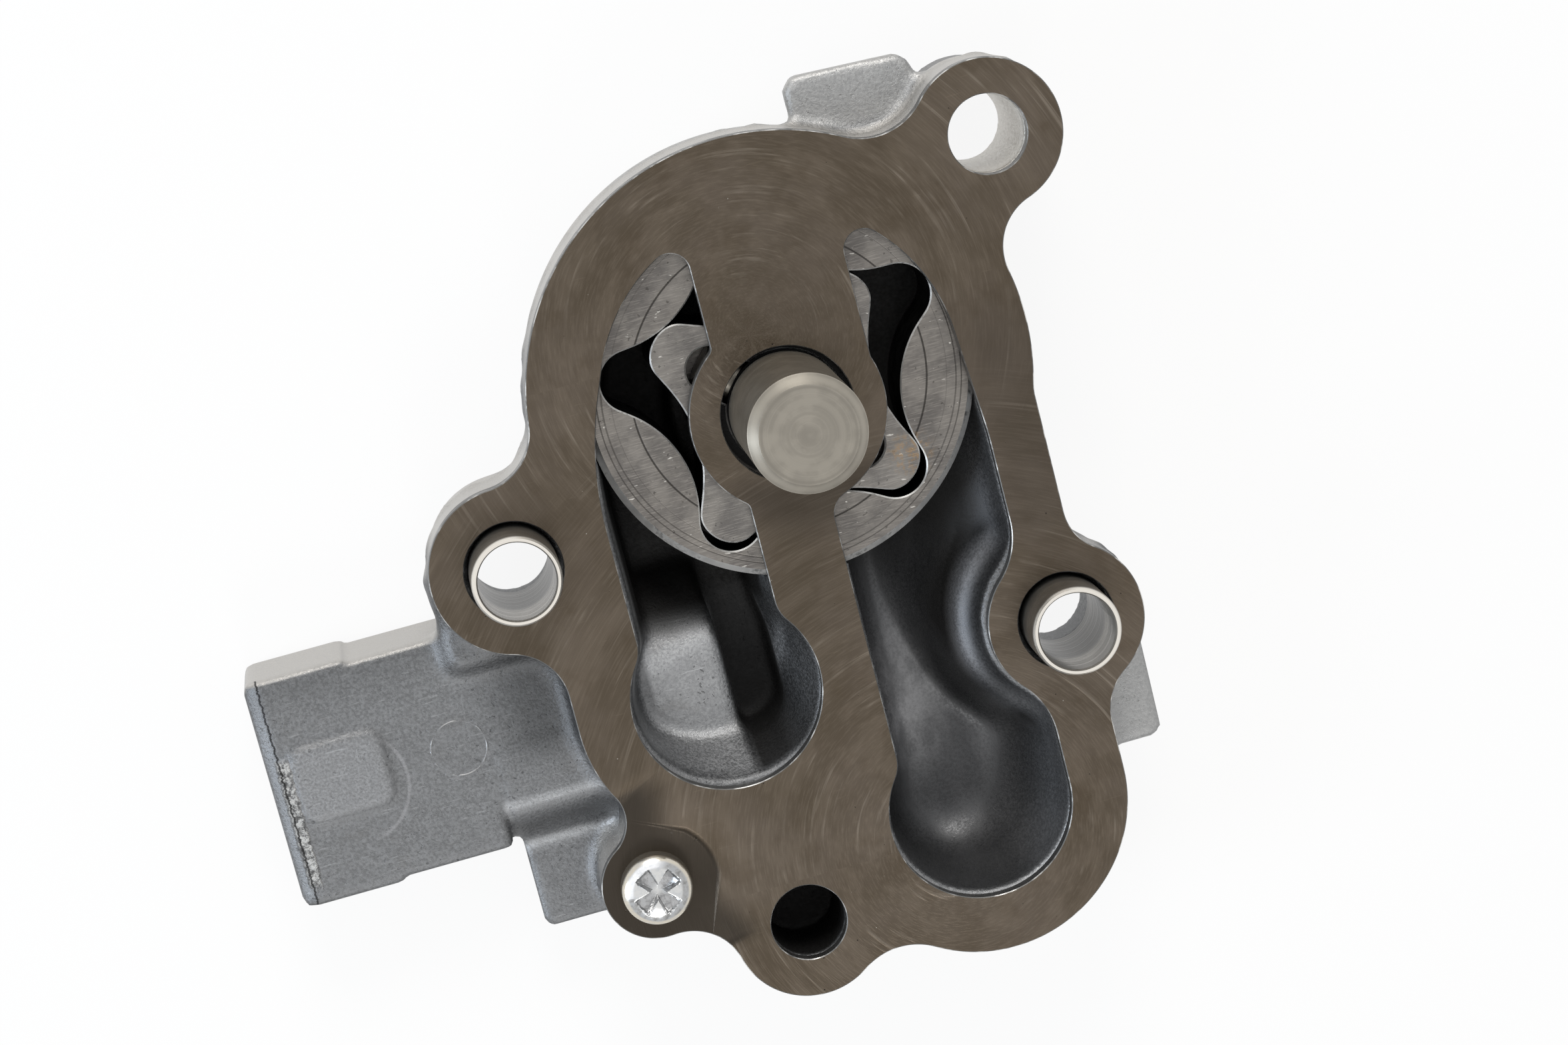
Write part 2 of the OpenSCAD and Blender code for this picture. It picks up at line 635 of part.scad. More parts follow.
module drive_shaft() {
    r = shaft_d/2;
    c = journal_chamfer;
    rear = -back_z + rear_inset;
    color([0.56, 0.53, 0.48])
    difference() {
        rotate_extrude()
            polygon([[0, rear], [r - 0.6, rear], [r, rear + 0.6], [r, -plate_t],
                     [r - relief_depth, -plate_t], [r - relief_depth, 0], [r, 0],
                     [r, journal_len - c], [r - c, journal_len], [0, journal_len]]);
        translate([0, 0, pin_z]) rotate(pin_angle) rotate([0, 90, 0])
            cylinder(d = pin_d, h = 3*r, center = true);
        rotate(rotor_phase) translate([-shaft_d, -drive_slot_w/2, rear - 1])
            cube([2*shaft_d, drive_slot_w, drive_slot_depth + 1]);
    }
}

module drive_pin() {
    c = 0.4;
    r = pin_d/2;
    h = pin_len/2;
    color([0.70, 0.68, 0.66])
    translate([0, 0, pin_z]) rotate(pin_angle) rotate([0, 90, 0]) rotate_extrude()
        polygon([[0, -h], [r - c, -h], [r, -h + c], [r, h - c], [r - c, h], [0, h]]);
}

// Hollow plunger, closed towards the chamber
module relief_plunger() {
    r = valve_r - running;
    inner = r - plunger_wall;
    color([0.72, 0.71, 0.69])
    translate([seat_x, valve_y, valve_z]) rotate([0, -90, 0]) rotate_extrude()
        polygon([[0, 0.02], [r - 1.5, 0.02], [r, 1.5], [r, plunger_len], [inner, plunger_len],
                 [inner, plunger_len/2], [0, plunger_len/2]]);
}

// Helical spring between the plunger and its seat
module relief_spring() {
    sides = 8;
    per_turn = 16;
    rings = ceil(spring_turns*per_turn);
    span = spring_right - spring_left - wire_d - 0.04;
    start = spring_left + wire_d/2 + 0.02;
    function ring(i) = let (a = 360*i/per_turn, x = start + span*i/rings)
        [for (j = [0:sides - 1]) let (b = 360*j/sides, q = spring_r + wire_d/2*cos(b))
            [x + wire_d/2*sin(b), valve_y + q*cos(a), valve_z + q*sin(a)]];
    points = [for (i = [0:rings]) each ring(i)];
    color([0.60, 0.60, 0.62])
    polyhedron(points, concat(
        [[for (j = [0:sides - 1]) j]],
        [for (i = [0:rings - 1], j = [0:sides - 1])
            [i*sides + j, (i + 1)*sides + j, (i + 1)*sides + (j + 1)%sides, i*sides + (j + 1)%sides]],
        [[for (j = [0:sides - 1]) rings*sides + sides - 1 - j]]));
}

module relief_spring_seat() {
    color([0.74, 0.72, 0.68])
    translate([spring_seat_x, valve_y, valve_z]) rotate([0, 90, 0]) difference() {
        cylinder(r = valve_r - running, h = spring_seat_t);
        translate([0, 0, -1]) cylinder(r = 1, h = spring_seat_t + 2);
    }
}

// Round wire ring sprung into its groove, open at one place
module relief_snap_ring() {
    outer = valve_r + groove_depth - 0.05;
    color([0.45, 0.45, 0.46])
    translate([ring_x, valve_y, valve_z]) rotate([0, 90, 0]) linear_extrude(ring_t - eps) difference() {
        circle(outer);
        circle(outer - 1.6);
        translate([0, -1.2]) square([2*outer, 2.4]);
    }
}

pump_body();
cover_plate();
cover_screw();
dowel_left();
dowel_right();
outer_rotor();
inner_rotor();
drive_shaft();
drive_pin();
relief_plunger();
relief_spring();
relief_spring_seat();
relief_snap_ring();
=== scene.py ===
"""Looks of an engine oil pump: die-cast body, ground cover plate, sintered rotors and steel fittings."""

import math

import bmesh
import bpy
import numpy as np
from bpy.props import FloatProperty, FloatVectorProperty, PointerProperty
from mathutils import Matrix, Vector
from mathutils.geometry import delaunay_2d_cdt


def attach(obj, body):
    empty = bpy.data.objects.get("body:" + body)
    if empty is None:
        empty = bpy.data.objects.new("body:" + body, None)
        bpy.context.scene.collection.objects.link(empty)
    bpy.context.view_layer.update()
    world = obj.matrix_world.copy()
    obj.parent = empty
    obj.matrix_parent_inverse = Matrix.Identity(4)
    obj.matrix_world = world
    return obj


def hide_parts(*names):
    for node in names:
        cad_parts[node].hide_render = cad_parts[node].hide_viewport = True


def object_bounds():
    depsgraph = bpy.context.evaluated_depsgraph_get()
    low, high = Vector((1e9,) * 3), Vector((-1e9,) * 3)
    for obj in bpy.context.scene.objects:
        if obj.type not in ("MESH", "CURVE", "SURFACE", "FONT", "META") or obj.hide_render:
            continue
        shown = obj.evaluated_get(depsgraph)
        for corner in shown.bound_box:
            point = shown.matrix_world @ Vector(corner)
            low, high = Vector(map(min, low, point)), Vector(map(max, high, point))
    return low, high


bl_info = {
    "name": "Oil pump looks",
    "version": (1, 0, 0),
    "blender": (4, 5, 0),
    "location": "View3D > Sidebar > Oil pump",
    "description": "Finishes and detailed surfaces of an engine oil pump",
    "category": "Object",
}

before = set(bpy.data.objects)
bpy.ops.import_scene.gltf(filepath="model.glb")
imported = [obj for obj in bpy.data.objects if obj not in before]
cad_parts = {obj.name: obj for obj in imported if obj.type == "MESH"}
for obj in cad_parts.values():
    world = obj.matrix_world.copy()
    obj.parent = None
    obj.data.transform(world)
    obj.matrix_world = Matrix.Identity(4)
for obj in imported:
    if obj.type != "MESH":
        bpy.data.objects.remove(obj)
CAD_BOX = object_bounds()
MM = 0.001


# Outlines: closed chains of arcs (x, y, r) in millimetres, read anticlockwise. r > 0 runs round a
# boss, r < 0 round a hollow, and each arc passes to the next on their common tangent.

def meet(c1, r1, c2, r2):
    """Point at r1 from c1 and r2 from c2, on the left of the way from c1 to c2."""
    c1, c2 = np.array(c1[:2]), np.array(c2[:2])
    d = np.linalg.norm(c2 - c1)
    u = (c2 - c1) / d
    a = (r1 * r1 - r2 * r2 + d * d) / (2 * d)
    return c1 + a * u + math.sqrt(max(0.0, r1 * r1 - a * a)) * np.array([-u[1], u[0]])


def inward(form):
    """The same circle, run round its hollow side."""
    return (form[0], form[1], -form[2])


def between(a, b, rf):
    """Hollow of radius rf that touches two round bosses."""
    p = meet(a, a[2] + rf, b, b[2] + rf)
    return (p[0], p[1], -rf)


def beside(x, form, rf, out, rise, sign):
    """Arc of radius rf that touches the upright line at x and a round form. out and rise say on
    which side of the line and of the form it lies, and sign whether it is round or hollow."""
    px = x + out * rf
    return (px, form[1] + rise * math.sqrt(max(0.0, (form[2] + rf) ** 2 - (px - form[0]) ** 2)), sign * rf)


def trace(chain, grow=0.0, fine=14.0):
    """Points of a chain grown by grow. Each arc's number of points comes from the chain as it
    stands, so two traces of one chain match point by point."""
    c = np.array(chain, float)

    def leave(a, b):
        d = b[:, :2] - a[:, :2]
        reach = np.clip((a[:, 2] - b[:, 2]) / np.hypot(d[:, 0], d[:, 1]), -1, 1)
        return np.arctan2(d[:, 1], d[:, 0]) - np.arccos(reach)

    def sweeps(k):
        after = leave(k, np.roll(k, -1, 0))
        before = np.roll(after, 1)
        turn = np.where(k[:, 2] > 0, 1, -1)
        raw = turn * np.mod(turn * (after - before), 2 * np.pi)
        return before, np.where(np.abs(raw) > 6.27, 0.0, raw)

    _, plain = sweeps(c)
    counts = np.maximum(1, np.ceil(np.abs(np.degrees(plain)) * np.sqrt(np.abs(c[:, 2])) / fine)).astype(int)
    g = c.copy()
    g[:, 2] = np.where(c[:, 2] > 0, np.maximum(c[:, 2] + grow, 0.05), np.minimum(c[:, 2] + grow, -0.05))
    start, sweep = sweeps(g)
    out = []
    for i, n in enumerate(counts):
        t = start[i] + sweep[i] * np.linspace(0, 1, n + 1)
        out.append(np.stack([g[i, 0] + g[i, 2] * np.cos(t), g[i, 1] + g[i, 2] * np.sin(t)], 1))
    return np.concatenate(out)


def ring(at, r, n=96):
    """Circle as a chain of one arc pair, so that it traces like the others."""
    def points(grow=0.0):
        t = np.linspace(0, 2 * np.pi, n, endpoint=False)
        return np.stack([at[0] + (r + grow) * np.cos(t), at[1] + (r + grow) * np.sin(t)], 1)
    return points


def loop(chain, fine=14.0):
    """A chain as a function of its growth."""
    return lambda grow=0.0: trace(chain, grow, fine)


# Round forms of plate and casting (x, y, radius), and further sizes that the part's source states,
# in millimetres. VALVE is y and z of the relief valve's axis.
ECC = 3.02
RING = (0.0, ECC - 0.3, 28.1)
TOP_EAR = (28.8, 23.6, 8.4)
LEFT_EAR = (-33.6, -9.3, 9.4)
RIGHT_EAR = (24.4, -31.4, 8.9)
LEFT_END, LEFT_WALL = (-14.5, -29.2, 10.7), (-14.5, -29.2, 16.9)
RIGHT_END, RIGHT_WALL = (9.9, -49.6, 10.4), (9.9, -49.6, 16.8)
GALLERY = (-12.1, -57.0, 8.6)
SCREW, COIN_R = (-27.6, -48.2, 6.1), 6.7
HUB, HUB_HOLE_R = (0.0, -0.45, 11.0), 7.5
WINDOW = (0.0, ECC - 0.7, 20.0)
FLANK_X = 27.0
PLATE_T = 1.6
VALVE = (-28.4, -12.85)

OUTLINE = [
    RING,
    between(TOP_EAR, RING, 6.2),
    TOP_EAR,
    between(RING, TOP_EAR, 7.3),
    RING,
    between(LEFT_EAR, RING, 6.5),
    LEFT_EAR,
    beside(LEFT_WALL[0] - LEFT_WALL[2], LEFT_EAR, 6.5, -1, -1, -1),
    LEFT_WALL,
    between(SCREW, LEFT_WALL, 4.6),
    SCREW,
    between(GALLERY, SCREW, 6.3),
    GALLERY,
    between(RIGHT_WALL, GALLERY, 7.5),
    RIGHT_WALL,
    beside(RIGHT_WALL[0] + RIGHT_WALL[2], RIGHT_EAR, 6.6, 1, -1, -1),
    RIGHT_EAR,
    beside(FLANK_X, RIGHT_EAR, 5.7, 1, 1, -1),
    beside(FLANK_X, RING, 6, 1, -1, -1),
]


def window_tip(x, side, r=2.2):
    """Round corner between the upright line at x and the window's round."""
    px = x + side * r
    return (px, WINDOW[1] + math.sqrt((WINDOW[2] - r) ** 2 - (px - WINDOW[0]) ** 2), r)


LEFT_WINDOW = [
    window_tip(-6.5, -1),
    WINDOW,
    (-22.6 + 40, -8, 40),
    beside(-22.6, LEFT_END, 4, -1, 1, -1),
    LEFT_END,
    beside(-6.7, LEFT_END, 4, 1, 1, -1),
    beside(-6.7, HUB, 1, -1, -1, 1),
    inward(HUB),
    beside(-6.5, HUB, 1, -1, 1, 1),
]
RIGHT_WINDOW = [
    window_tip(10.35, 1),
    beside(10.35, HUB, 0.8, 1, 1, 1),
    inward(HUB),
    beside(2.1, HUB, 2.7, 1, -1, 1),
    beside(2.1, RIGHT_END, 4, -1, 1, -1),
    RIGHT_END,
    beside(20.3, RIGHT_EAR, 8.9, -1, -1, 1),
    inward(RIGHT_EAR),
    beside(20.9, RIGHT_EAR, 8.9, -1, 1, 1),
    (20.9 - 40, -10, 40),
    WINDOW,
]
# The coined seat runs out past the plate's edge on the lower left
COIN = [(*SCREW[:2], COIN_R)] + [(SCREW[0] + dx, SCREW[1] + dy, r) for dx, dy, r in (
    (-9, 16, 0.5), (-17, 6, 2), (-16, -10, 2), (5, -16, 0.5))]

# Outline of the suction chamber's floor, inside the window's outline
FLOOR_EDGE = np.array([
    (2.6, -8), (10.5, -8), (9.6, -16), (9.2, -22), (9.3, -27), (10.6, -31.6), (13.2, -35.2),
    (15.9, -38.6), (17.1, -42.2), (17.0, -47.2), (15.4, -52.0), (12.0, -55.6), (6.6, -56.8),
    (2.4, -54.2), (0.9, -50), (2.6, -44)])
for _ in range(3):
    # corners cut off at a quarter of each side until the line runs smooth
    AFTER = np.roll(FLOOR_EDGE, -1, 0)
    FLOOR_EDGE = np.stack([0.75 * FLOOR_EDGE + 0.25 * AFTER, 0.25 * FLOOR_EDGE + 0.75 * AFTER], 1)
    FLOOR_EDGE = FLOOR_EDGE.reshape(-1, 2)

# The chambers stand a little up and to the right of the plate's windows, so the casting shows along
# their lower left edges
SHIFT = np.array([0.22, 0.18])

# Rotors: four lobes in five round pockets
LOBES, POCKETS = 4, 5
TOOTH_R, TIP_GAP, PHASE = 12.45, 0.1, 3.4
LOBE_TIP_R, POCKET_ROOT_R, ROTOR_R, BORE_R = 16.47, 19.77, 21.8, 6.52
TOOTH_CIRCLE_R = LOBE_TIP_R - ECC + TOOTH_R
ROTOR_FRONT, ROTOR_BACK, SLOT_FLOOR = -1.65, -11.65, -6.95


def turned_by(points, degrees):
    """Flat points turned about the shaft's axis."""
    c, s = math.cos(math.radians(degrees)), math.sin(math.radians(degrees))
    return np.stack([c * points[:, 0] - s * points[:, 1], s * points[:, 0] + c * points[:, 1]], 1)


def tooth_hollow(grow=0.0):
    """Hollow of the outer rotor: round teeth that touch round pockets."""
    half = math.pi / POCKETS
    c = TOOTH_CIRCLE_R * math.cos(half)
    pocket_r = (TOOTH_CIRCLE_R ** 2 + POCKET_ROOT_R ** 2 - TOOTH_R ** 2 - 2 * POCKET_ROOT_R * c) / (
        2 * (POCKET_ROOT_R + TOOTH_R - c))
    start = math.radians((LOBES * PHASE + 270) / POCKETS)
    chain = []
    for k in range(2 * POCKETS):
        r = POCKET_ROOT_R - pocket_r if k % 2 else TOOTH_CIRCLE_R
        a = start + k * half
        chain.append((r * math.cos(a), ECC + r * math.sin(a), pocket_r if k % 2 else TIP_GAP / 2 - TOOTH_R))
    return trace(chain, grow, 7)


def lobe_outline(grow=0.0, steps=480):
    """Inner rotor: the curve that keeps a tooth's radius from the path of the tooth centres."""
    t = np.linspace(0, 2 * np.pi, steps, endpoint=False)
    k = POCKETS
    p = TOOTH_CIRCLE_R * np.stack([np.cos(t), np.sin(t)]) - ECC * np.stack([np.cos(k * t), np.sin(k * t)])
    v = TOOTH_CIRCLE_R * np.stack([-np.sin(t), np.cos(t)]) - ECC * k * np.stack([-np.sin(k * t), np.cos(k * t)])
    p = p - (TOOTH_R + TIP_GAP / 2 - grow) * np.stack([v[1], -v[0]]) / np.hypot(*v)
    return turned_by(p.T, PHASE)


def slot_outline(grow=0.0):
    """Bore of the inner rotor with the slot of the drive pin across it."""
    r, w, end = BORE_R + grow, 2.6 + grow, 9.5
    a = math.asin(w / r)
    arcs = []
    for x, radius, low, high in ((0, r, a, math.pi - a), (-end, w, math.pi / 2, 1.5 * math.pi),
                                 (0, r, math.pi + a, 2 * math.pi - a), (end, w, -math.pi / 2, math.pi / 2)):
        u = np.linspace(low, high, 24)
        arcs.append(np.stack([x + radius * np.cos(u), radius * np.sin(u)], 1))
    return turned_by(np.concatenate(arcs), PHASE + 135)


# Meshes

def face_rises(mesh):
    """How far each face looks forwards: 1 for flat ones that face the front."""
    normals = np.empty(len(mesh.polygons) * 3)
    mesh.polygons.foreach_get("normal", normals)
    return normals.reshape(-1, 3)[:, 2]


def placed(name, data):
    """A new object in the scene."""
    thing = bpy.data.objects.new(name, data)
    bpy.context.scene.collection.objects.link(thing)
    return thing


def add_piece(name, vertices, faces, material, body, replaced, sharp=35.0, merge=None, flat_faces=False):
    """Makes one object from points in millimetres and lists of corner numbers, kept inside the
    part's own box."""
    mesh = bpy.data.meshes.new(name)
    vertices = np.clip(np.asarray(vertices, float) * MM, *CAD_BOX)
    mesh.from_pydata(vertices.tolist(), [], [list(f) for f in faces])
    mesh.validate()
    mesh.update()
    if merge:
        bm = bmesh.new()
        bm.from_mesh(mesh)
        bmesh.ops.remove_doubles(bm, verts=bm.verts, dist=merge * MM)
        bmesh.ops.recalc_face_normals(bm, faces=bm.faces)
        bm.to_mesh(mesh)
        bm.free()
    mesh.polygons.foreach_set("use_smooth", np.abs(face_rises(mesh)) < (0.9999 if flat_faces else 2))
    mesh.set_sharp_from_angle(angle=math.radians(sharp))
    piece = placed(name, mesh)
    mesh.materials.append(material)
    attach(piece, body)
    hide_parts(*replaced)
    return piece


def paint(piece, marks):
    """Writes values for each point, which the materials read by name."""
    for name, values in marks.items():
        piece.data.attributes.new(name, "FLOAT", "POINT").data.foreach_set("value", values.astype(np.float32))


def polygon_distance(x, y, polygon):
    """Signed distance from points to a closed polygon, negative inside."""
    near = np.full(x.shape, 1e9, np.float32)
    odd = np.zeros(x.shape, bool)
    for (ax, ay), (bx, by) in zip(polygon, np.roll(polygon, -1, 0)):
        dx, dy = bx - ax, by - ay
        long = dx * dx + dy * dy
        if long < 1e-9:
            continue
        t = np.clip(((x - ax) * dx + (y - ay) * dy) / long, 0, 1)
        near = np.minimum(near, (x - ax - t * dx) ** 2 + (y - ay - t * dy) ** 2)
        if ay != by:
            odd ^= ((ay > y) != (by > y)) & (x < (bx - ax) * (y - ay) / (by - ay) + ax)
    return np.where(odd, -1, 1) * np.sqrt(near)


def filled(outer, holes, extra=()):
    """Flat triangles between an outer polygon and the polygons of its holes, through extra points."""
    points, edges = [], []
    for p in [outer] + holes:
        n, k = len(points), len(p)
        points += p.tolist()
        edges += [(n + i, n + (i + 1) % k) for i in range(k)]
    v, _, f, *_ = delaunay_2d_cdt(points + [tuple(p) for p in extra], edges, [], 1, 1e-7)
    v = np.array([tuple(p) for p in v])
    f = np.array([t for t in f if len(t) == 3])
    x, y = v[f].mean(1).T
    keep = polygon_distance(x, y, outer) < 0
    for hole in holes:
        keep &= polygon_distance(x, y, hole) > 0
    return v, f[keep]


def strips(n, rings):
    """Quads between each of some rings of n points and the next."""
    i = np.arange(n)
    j = (i + 1) % n
    return np.concatenate([np.stack([r * n + i, r * n + j, (r + 1) * n + j, (r + 1) * n + i], 1)
                           for r in range(rings - 1)])


def slab(outer, holes, low, high, edge, hole_edge=None, low_edge=None, sink=None, extra=()):
    """A flat piece: its outline and holes carried from low to high, with a small chamfer along each
    edge. edge is the chamfer's size, and the flat faces are filled between the chamfers. sink gives
    the depth by which the top lies lower at a point, and extra the points that follow its border."""
    hole_edge = edge if hole_edge is None else hole_edge
    low_edge = edge if low_edge is None else low_edge
    vertices, faces, count = [], [], 0

    def add(v, f):
        nonlocal count
        vertices.append(v)
        faces.extend((np.asarray(f) + count).tolist())
        count += len(v)

    tops, bottoms = [], []
    for k, shape in enumerate([outer] + holes):
        sign = -1 if k == 0 else 1
        e = edge if k == 0 else hole_edge
        levels = [(low, sign * low_edge), (low + low_edge, 0), (high - e, 0), (high, sign * e)]
        rows = [np.column_stack([shape(g), np.full(len(shape(0)), z)]) for z, g in levels]
        if sink:
            for r in rows[2:]:
                r[:, 2] -= sink(r[:, :2])
        quads = strips(len(rows[0]), 4)
        add(np.concatenate(rows), quads if k == 0 else quads[:, ::-1])
        tops.append(rows[3][:, :2])
        bottoms.append(rows[0][:, :2])
    for z, loops, top in ((high, tops, True), (low, bottoms, False)):
        v, f = filled(loops[0], loops[1:], extra if top else ())
        depth = sink(v) if sink and top else 0
        add(np.column_stack([v, np.full(len(v), z) - depth]), f if top else f[:, ::-1])
    return np.concatenate(vertices), faces


# The casting, as a distance that is negative in the metal. BACK is the level of its deep back,
# BLOCK_FACE that of the valve block's face and PAD the sides of the pad on it.
BACK, BLOCK_FACE = -18.98, -6.7
PAD = (-63.6, -52.7, -32.4, -23.6)
TOP_TAB = [(8.9, 22), (26, 22), (26, 30.4), (23.6, 31.4), (23.1, 33.0), (22.0, 34.0), (10.1, 34.5), (8.9, 33.2)]
RIGHT_TAB = [(18, -48.9), (32, -48.9), (33, -47.9), (33.1, -37), (18, -37)]


def circle_distance(x, y, at, r):
    return np.hypot(x - at[0], y - at[1]) - r


def box_distance(x, y, x0, x1, y0, y1, r=0.0):
    """Distance to a rectangle with corners of radius r."""
    qx = np.abs(x - (x0 + x1) / 2) - (x1 - x0) / 2 + r
    qy = np.abs(y - (y0 + y1) / 2) - (y1 - y0) / 2 + r
    return np.minimum(np.maximum(qx, qy), 0) + np.hypot(np.maximum(qx, 0), np.maximum(qy, 0)) - r


def raised(d, z, low, high, r):
    """A flat form carried from low to high, with all its edges rounded by r."""
    q = np.abs(z - (low + high) / 2) - (high - low) / 2 + r
    d = d + r
    return np.minimum(np.maximum(d, q), 0) + np.hypot(np.maximum(d, 0), np.maximum(q, 0)) - r


def join(a, b, k):
    """Union of two forms with a fillet of about k between them."""
    h = np.maximum(k - np.abs(a - b), 0) / k
    return np.minimum(a, b) - h * h * k / 4


def cut(a, b, k):
    """The first form without the second, with its edges rounded by about k."""
    return -join(-a, b, k)


def step_up(a):
    """Smooth step from 0 to 1."""
    a = np.clip(a, 0, 1)
    return a * a * (3 - 2 * a)


def up(value, start, width):
    """Rises from 0 at start to 1 within a width."""
    return step_up((value - start) / width)


def down(value, start, width):
    """Rises from 0 at start to 1 as the value falls by a width."""
    return step_up((start - value) / width)


def casting_distance(x, y, z):
    """Distance to the die casting on a grid, built from the flat distances of its outlines."""
    def flat(polygon):
        return polygon_distance(x[:, :, 0], y[:, :, 0], np.array(polygon, float))[:, :, None]

    def disc(at, r):
        return circle_distance(x, y, at, r)

    def bar(x0, x1, y0, y1, corner, low, high, r):
        return raised(box_distance(x, y, x0, x1, y0, y1, corner), z, low, high, r)

    # front half above the parting face, then the drafted rear half, with a ragged line of flash
    outline = flat(trace(OUTLINE, 0, 20))
    ragged = 0.22 + 0.1 * np.sin(x * 1.7 + y * 0.6) + 0.08 * np.sin(y * 2.3 - x * 1.1)
    flash = ragged * np.exp(-((z + 6.8) / 0.45) ** 2)
    front = outline + 0.12 - 0.01 * np.clip(-1.6 - z, 0, 9) - flash
    rear = outline + 0.5 + 0.05 * np.clip(-7 - z, 0, 9)
    d = join(raised(front, z, -7.3, -PLATE_T - 0.02, 0.15), raised(rear, z, -13.5, -6.5, 1.6), 0.3)
    # deep back round rotors and chambers, and the ears
    deep = join(disc(RING, RING[2] - 1.0), disc(LEFT_WALL, LEFT_WALL[2] - 1.2), 4)
    deep = join(deep, disc(RIGHT_WALL, RIGHT_WALL[2] - 1.2), 4)
    core = flat([(-25.6, 0), (-25.6, -29.2), LEFT_END[:2], RIGHT_END[:2], (25, -31.4), (25, 0)])
    d = join(d, raised(join(deep, core, 3), z, BACK, -10, 2.0), 2.0)
    for ear, low in ((TOP_EAR, BACK), (RIGHT_EAR, -16.5), (LEFT_EAR, -14.0)):
        d = join(d, raised(disc(ear, ear[2] - 0.8), z, low, -7.5, 1.0), 1.2)
    # valve block with its pad; the ramp beside the screw's boss falls from its face to the lower step
    block = np.minimum(bar(-66.0, -24, -41.2, -15.6, 1.2, -18.6, BLOCK_FACE, 0.7),
                       bar(-66.1, -54.0, -41.7, -15.1, 1.2, -18.8, BLOCK_FACE, 0.7))
    slope = (z - (BLOCK_FACE - 4.4 * down(y, -36.9, 5.6))) * 0.78
    corner = np.maximum(np.maximum(y + 36.9, -41.6 - x), -slope)
    ledge = np.maximum(bar(-40.6, -20, -52.5, -30, 1.0, -18.0, -4, 0.8), slope)
    block = join(cut(block, corner, 0.9), ledge, 0.6)
    block = join(block, bar(*PAD, 2.0, -8.0, -6.25, 0.5), 0.6)
    # beveled left end and the groove between it and the face
    block = np.maximum(block, (z + 7.6 - (x + 66.1) * 0.55) * 0.87)
    block = cut(block, np.hypot(x + 64.25 + 0.12 * np.sin(y * 1.9), z + 6.55) - 0.22, 0.1)
    # foot that fills the corner between the left ear and the block
    d = join(d, bar(-43.3, -28, -19.7, -8, 1.6, -9, -4.9, 1.4), 1.6)
    d = join(d, block, 2.4)
    # gate tabs
    for tab in (TOP_TAB, RIGHT_TAB):
        d = join(d, raised(flat(tab), z, -9.1, BLOCK_FACE, 0.5), 1.4)
    # left chamber: the walls lean in to a smaller outline at the hump's level, then fall straight
    depth = np.clip(-PLATE_T - z, 0, 20)
    window = flat(trace(LEFT_WINDOW, -0.12, 20) + SHIFT)
    foot = -join(-window - 0.9, -x - 7.4, 2.5)
    foot = -join(-foot, y + 35.4 + 2.2 * up(x, -13.6, 1.5), 5)
    lean = np.clip(depth / 7.2, 0, 1)
    left = raised(window * (1 - lean) + foot * lean + 0.02 * depth, z, -16.4, 9, 1.2)
    # hump over the relief valve: round towards the rotors, level towards the end wall
    fall = np.clip(y + 26.2, 0, 20)
    level = (z + 8.6 + fall * fall / 14) / np.sqrt(1 + (fall / 7) ** 2)
    hump = -join(-level, -13.1 - x - 0.12 * np.clip(-8.6 - z, 0, 9), 1.6)
    # right chamber: steep walls that run out to the floor's outline
    window = flat(trace(RIGHT_WINDOW, -0.12, 20) + SHIFT)
    lean = 0.05 * np.clip(depth / 2, 0, 1) + 0.95 * up(depth, 1.5, 12.5)
    right = raised(window * (1 - lean) + (flat(FLOOR_EDGE) - 0.4) * lean, z, -15.2, 9, 4.4)
    # foot of the dowel's boss: a round shoulder, then a cone down to the floor
    spread = 9.0 + 3.0 * up(depth, 0.8, 3.8) + 3.2 * np.clip((depth - 4.6) / 9.0, 0, 1)
    d = cut(d, cut(left, hump, 1.2), 0.25)
    d = cut(d, cut(right, (disc(RIGHT_EAR, 0) - spread) * 0.85, 2.0), 0.25)
    # rotor pocket, and the upright holes down to a level
    d = cut(d, np.maximum(disc((0, ECC), 21.9), -11.7 - z), 0.3)
    for at, r, low in ((TOP_EAR, 4.33, -40), (LEFT_EAR, 5.02, -10.5), (LEFT_EAR, 4.6, -40),
                       (RIGHT_EAR, 5.02, -10.5), (RIGHT_EAR, 4.6, -40), (GALLERY, 4.3, -12.0),
                       (SCREW, 2.0, -11), ((0, 0), 6.56, -40)):
        d = cut(d, np.maximum(disc(at, r), low - z), 0.25)
    # the relief valve's bore, its narrower feed and its drain
    bore = np.hypot(y - VALVE[0], z - VALVE[1])
    d = cut(d, np.maximum(bore - 4.0, x + 38.0), 0.25)
    d = cut(d, np.maximum(bore - 2.5, np.maximum(x + 11.2, -39 - x)), 0.25)
    return cut(d, np.maximum(disc((-42, VALVE[0]), 2.0), z - VALVE[1]), 0.25)


